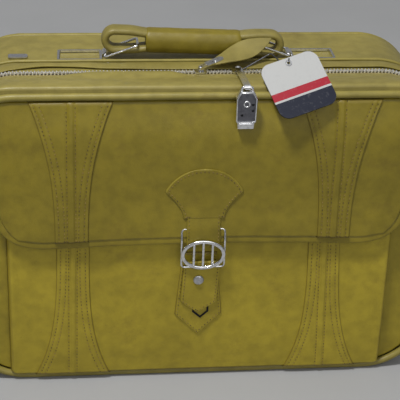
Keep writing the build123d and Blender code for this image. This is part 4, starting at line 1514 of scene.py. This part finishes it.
def make_stage():
    """Pale floor with a soft sweep behind, and studio lamps."""
    width = 6.0
    near, turn, high = -3.0, 1.6, 3.0
    radius = 1.2
    profile = [(near, 0.0), (turn, 0.0)]
    for angle in np.linspace(0, math.pi / 2, 24):
        profile.append((turn + radius * math.sin(angle), radius * (1 - math.cos(angle))))
    profile.append((turn + radius, high))
    points = []
    faces = []
    for y, z in profile:
        points += [(-width / METRES, y / METRES, z / METRES), (width / METRES, y / METRES, z / METRES)]
    for i in range(len(profile) - 1):
        faces.append((2 * i, 2 * i + 1, 2 * i + 3, 2 * i + 2))
    floor = new_mesh("studio_sweep", points, faces)
    floor.data.materials.append(make_floor())

    make_world()
    for name, place_at, aim, size, power in (
        ("key", (-0.6, -0.75, 2.5), (0.0, -0.05, 0.3), 0.35, 55.0),
        ("fill", (0.4, -2.6, 1.5), (0.0, 0.0, 0.2), 1.6, 18.0),
    ):
        light = bpy.data.lights.new(name, "AREA")
        light.size = size
        light.energy = power
        lamp = bpy.data.objects.new(name, light)
        lamp.location = place_at
        lamp.rotation_euler = (Vector(aim) - Vector(place_at)).to_track_quat("-Z", "Y").to_euler()
        bpy.context.scene.collection.objects.link(lamp)


def make_world():
    """Soft studio surround: bright overhead, dim at the horizon, with bands for the metal to mirror."""
    world = bpy.data.worlds.new("studio")
    bpy.context.scene.world = world
    world.use_nodes = True
    tree = world.node_tree
    place_node = tree.nodes.new("ShaderNodeTexCoord")
    split = tree.nodes.new("ShaderNodeSeparateXYZ")
    ramp = tree.nodes.new("ShaderNodeValToRGB")
    shift = tree.nodes.new("ShaderNodeMapRange")
    shift.inputs["From Min"].default_value = -1.0
    tree.links.new(place_node.outputs["Generated"], split.inputs["Vector"])
    tree.links.new(split.outputs["Z"], shift.inputs["Value"])
    tree.links.new(shift.outputs["Result"], ramp.inputs["Fac"])
    levels = [(0.0, 0.25), (0.50, 0.10), (0.58, 0.45), (0.70, 0.22), (0.82, 0.60), (1.0, 0.70)]
    stops = [(where, (level * 0.96, level * 0.98, level)) for where, level in levels]
    set_stops(ramp.color_ramp.elements, stops)
    tree.links.new(ramp.outputs["Color"], tree.nodes["Background"].inputs["Color"])
    tree.nodes["Background"].inputs["Strength"].default_value = 0.75


def make_camera():
    """Camera at the place and with the lens that the photograph was fitted with."""
    yaw, pitch, roll = (math.radians(a) for a in (camera_yaw, camera_pitch, camera_roll))
    ahead = Vector((math.sin(yaw) * math.cos(pitch), math.cos(yaw) * math.cos(pitch), -math.sin(pitch)))
    right = Vector((math.cos(yaw), -math.sin(yaw), 0.0))
    upward = right.cross(ahead)
    turned_right = right * math.cos(roll) + upward * math.sin(roll)
    turned_up = upward * math.cos(roll) - right * math.sin(roll)
    data = bpy.data.cameras.new("photo_camera")
    data.sensor_width = sensor_width
    data.lens = focal_pixels / image_pixels * sensor_width
    camera = bpy.data.objects.new("photo_camera", data)
    axes = Matrix((turned_right, turned_up, -ahead)).transposed().to_4x4()
    camera.matrix_world = Matrix.Translation(Vector(camera_place) * METRES) @ axes
    bpy.context.scene.collection.objects.link(camera)
    bpy.context.scene.camera = camera


make_gussets()
make_piping("front_piping_vinyl", "front_piping", (piping_low[1] + piping_high[1]) / 2, "lid")
make_piping("rear_piping_vinyl", "rear_piping", (rear_low[1] + rear_high[1]) / 2, "case")
make_panels()
make_pocket()
make_flap()
flap_lines, pocket_lines = make_straps()
more_flap, more_pocket = make_small_leathers()
flap_lines += more_flap
pocket_lines += more_pocket
make_stitches("flap_stitching", flap_lines, "flap")
make_stitches("pocket_stitching", pocket_lines, "lid")
make_zip()
make_placket()
make_handle()
make_buckle()
make_leaf()
make_lock()
make_tag()
dress_nodes()
make_stage()
make_camera()
bpy.context.scene.view_settings.view_transform = "Standard"
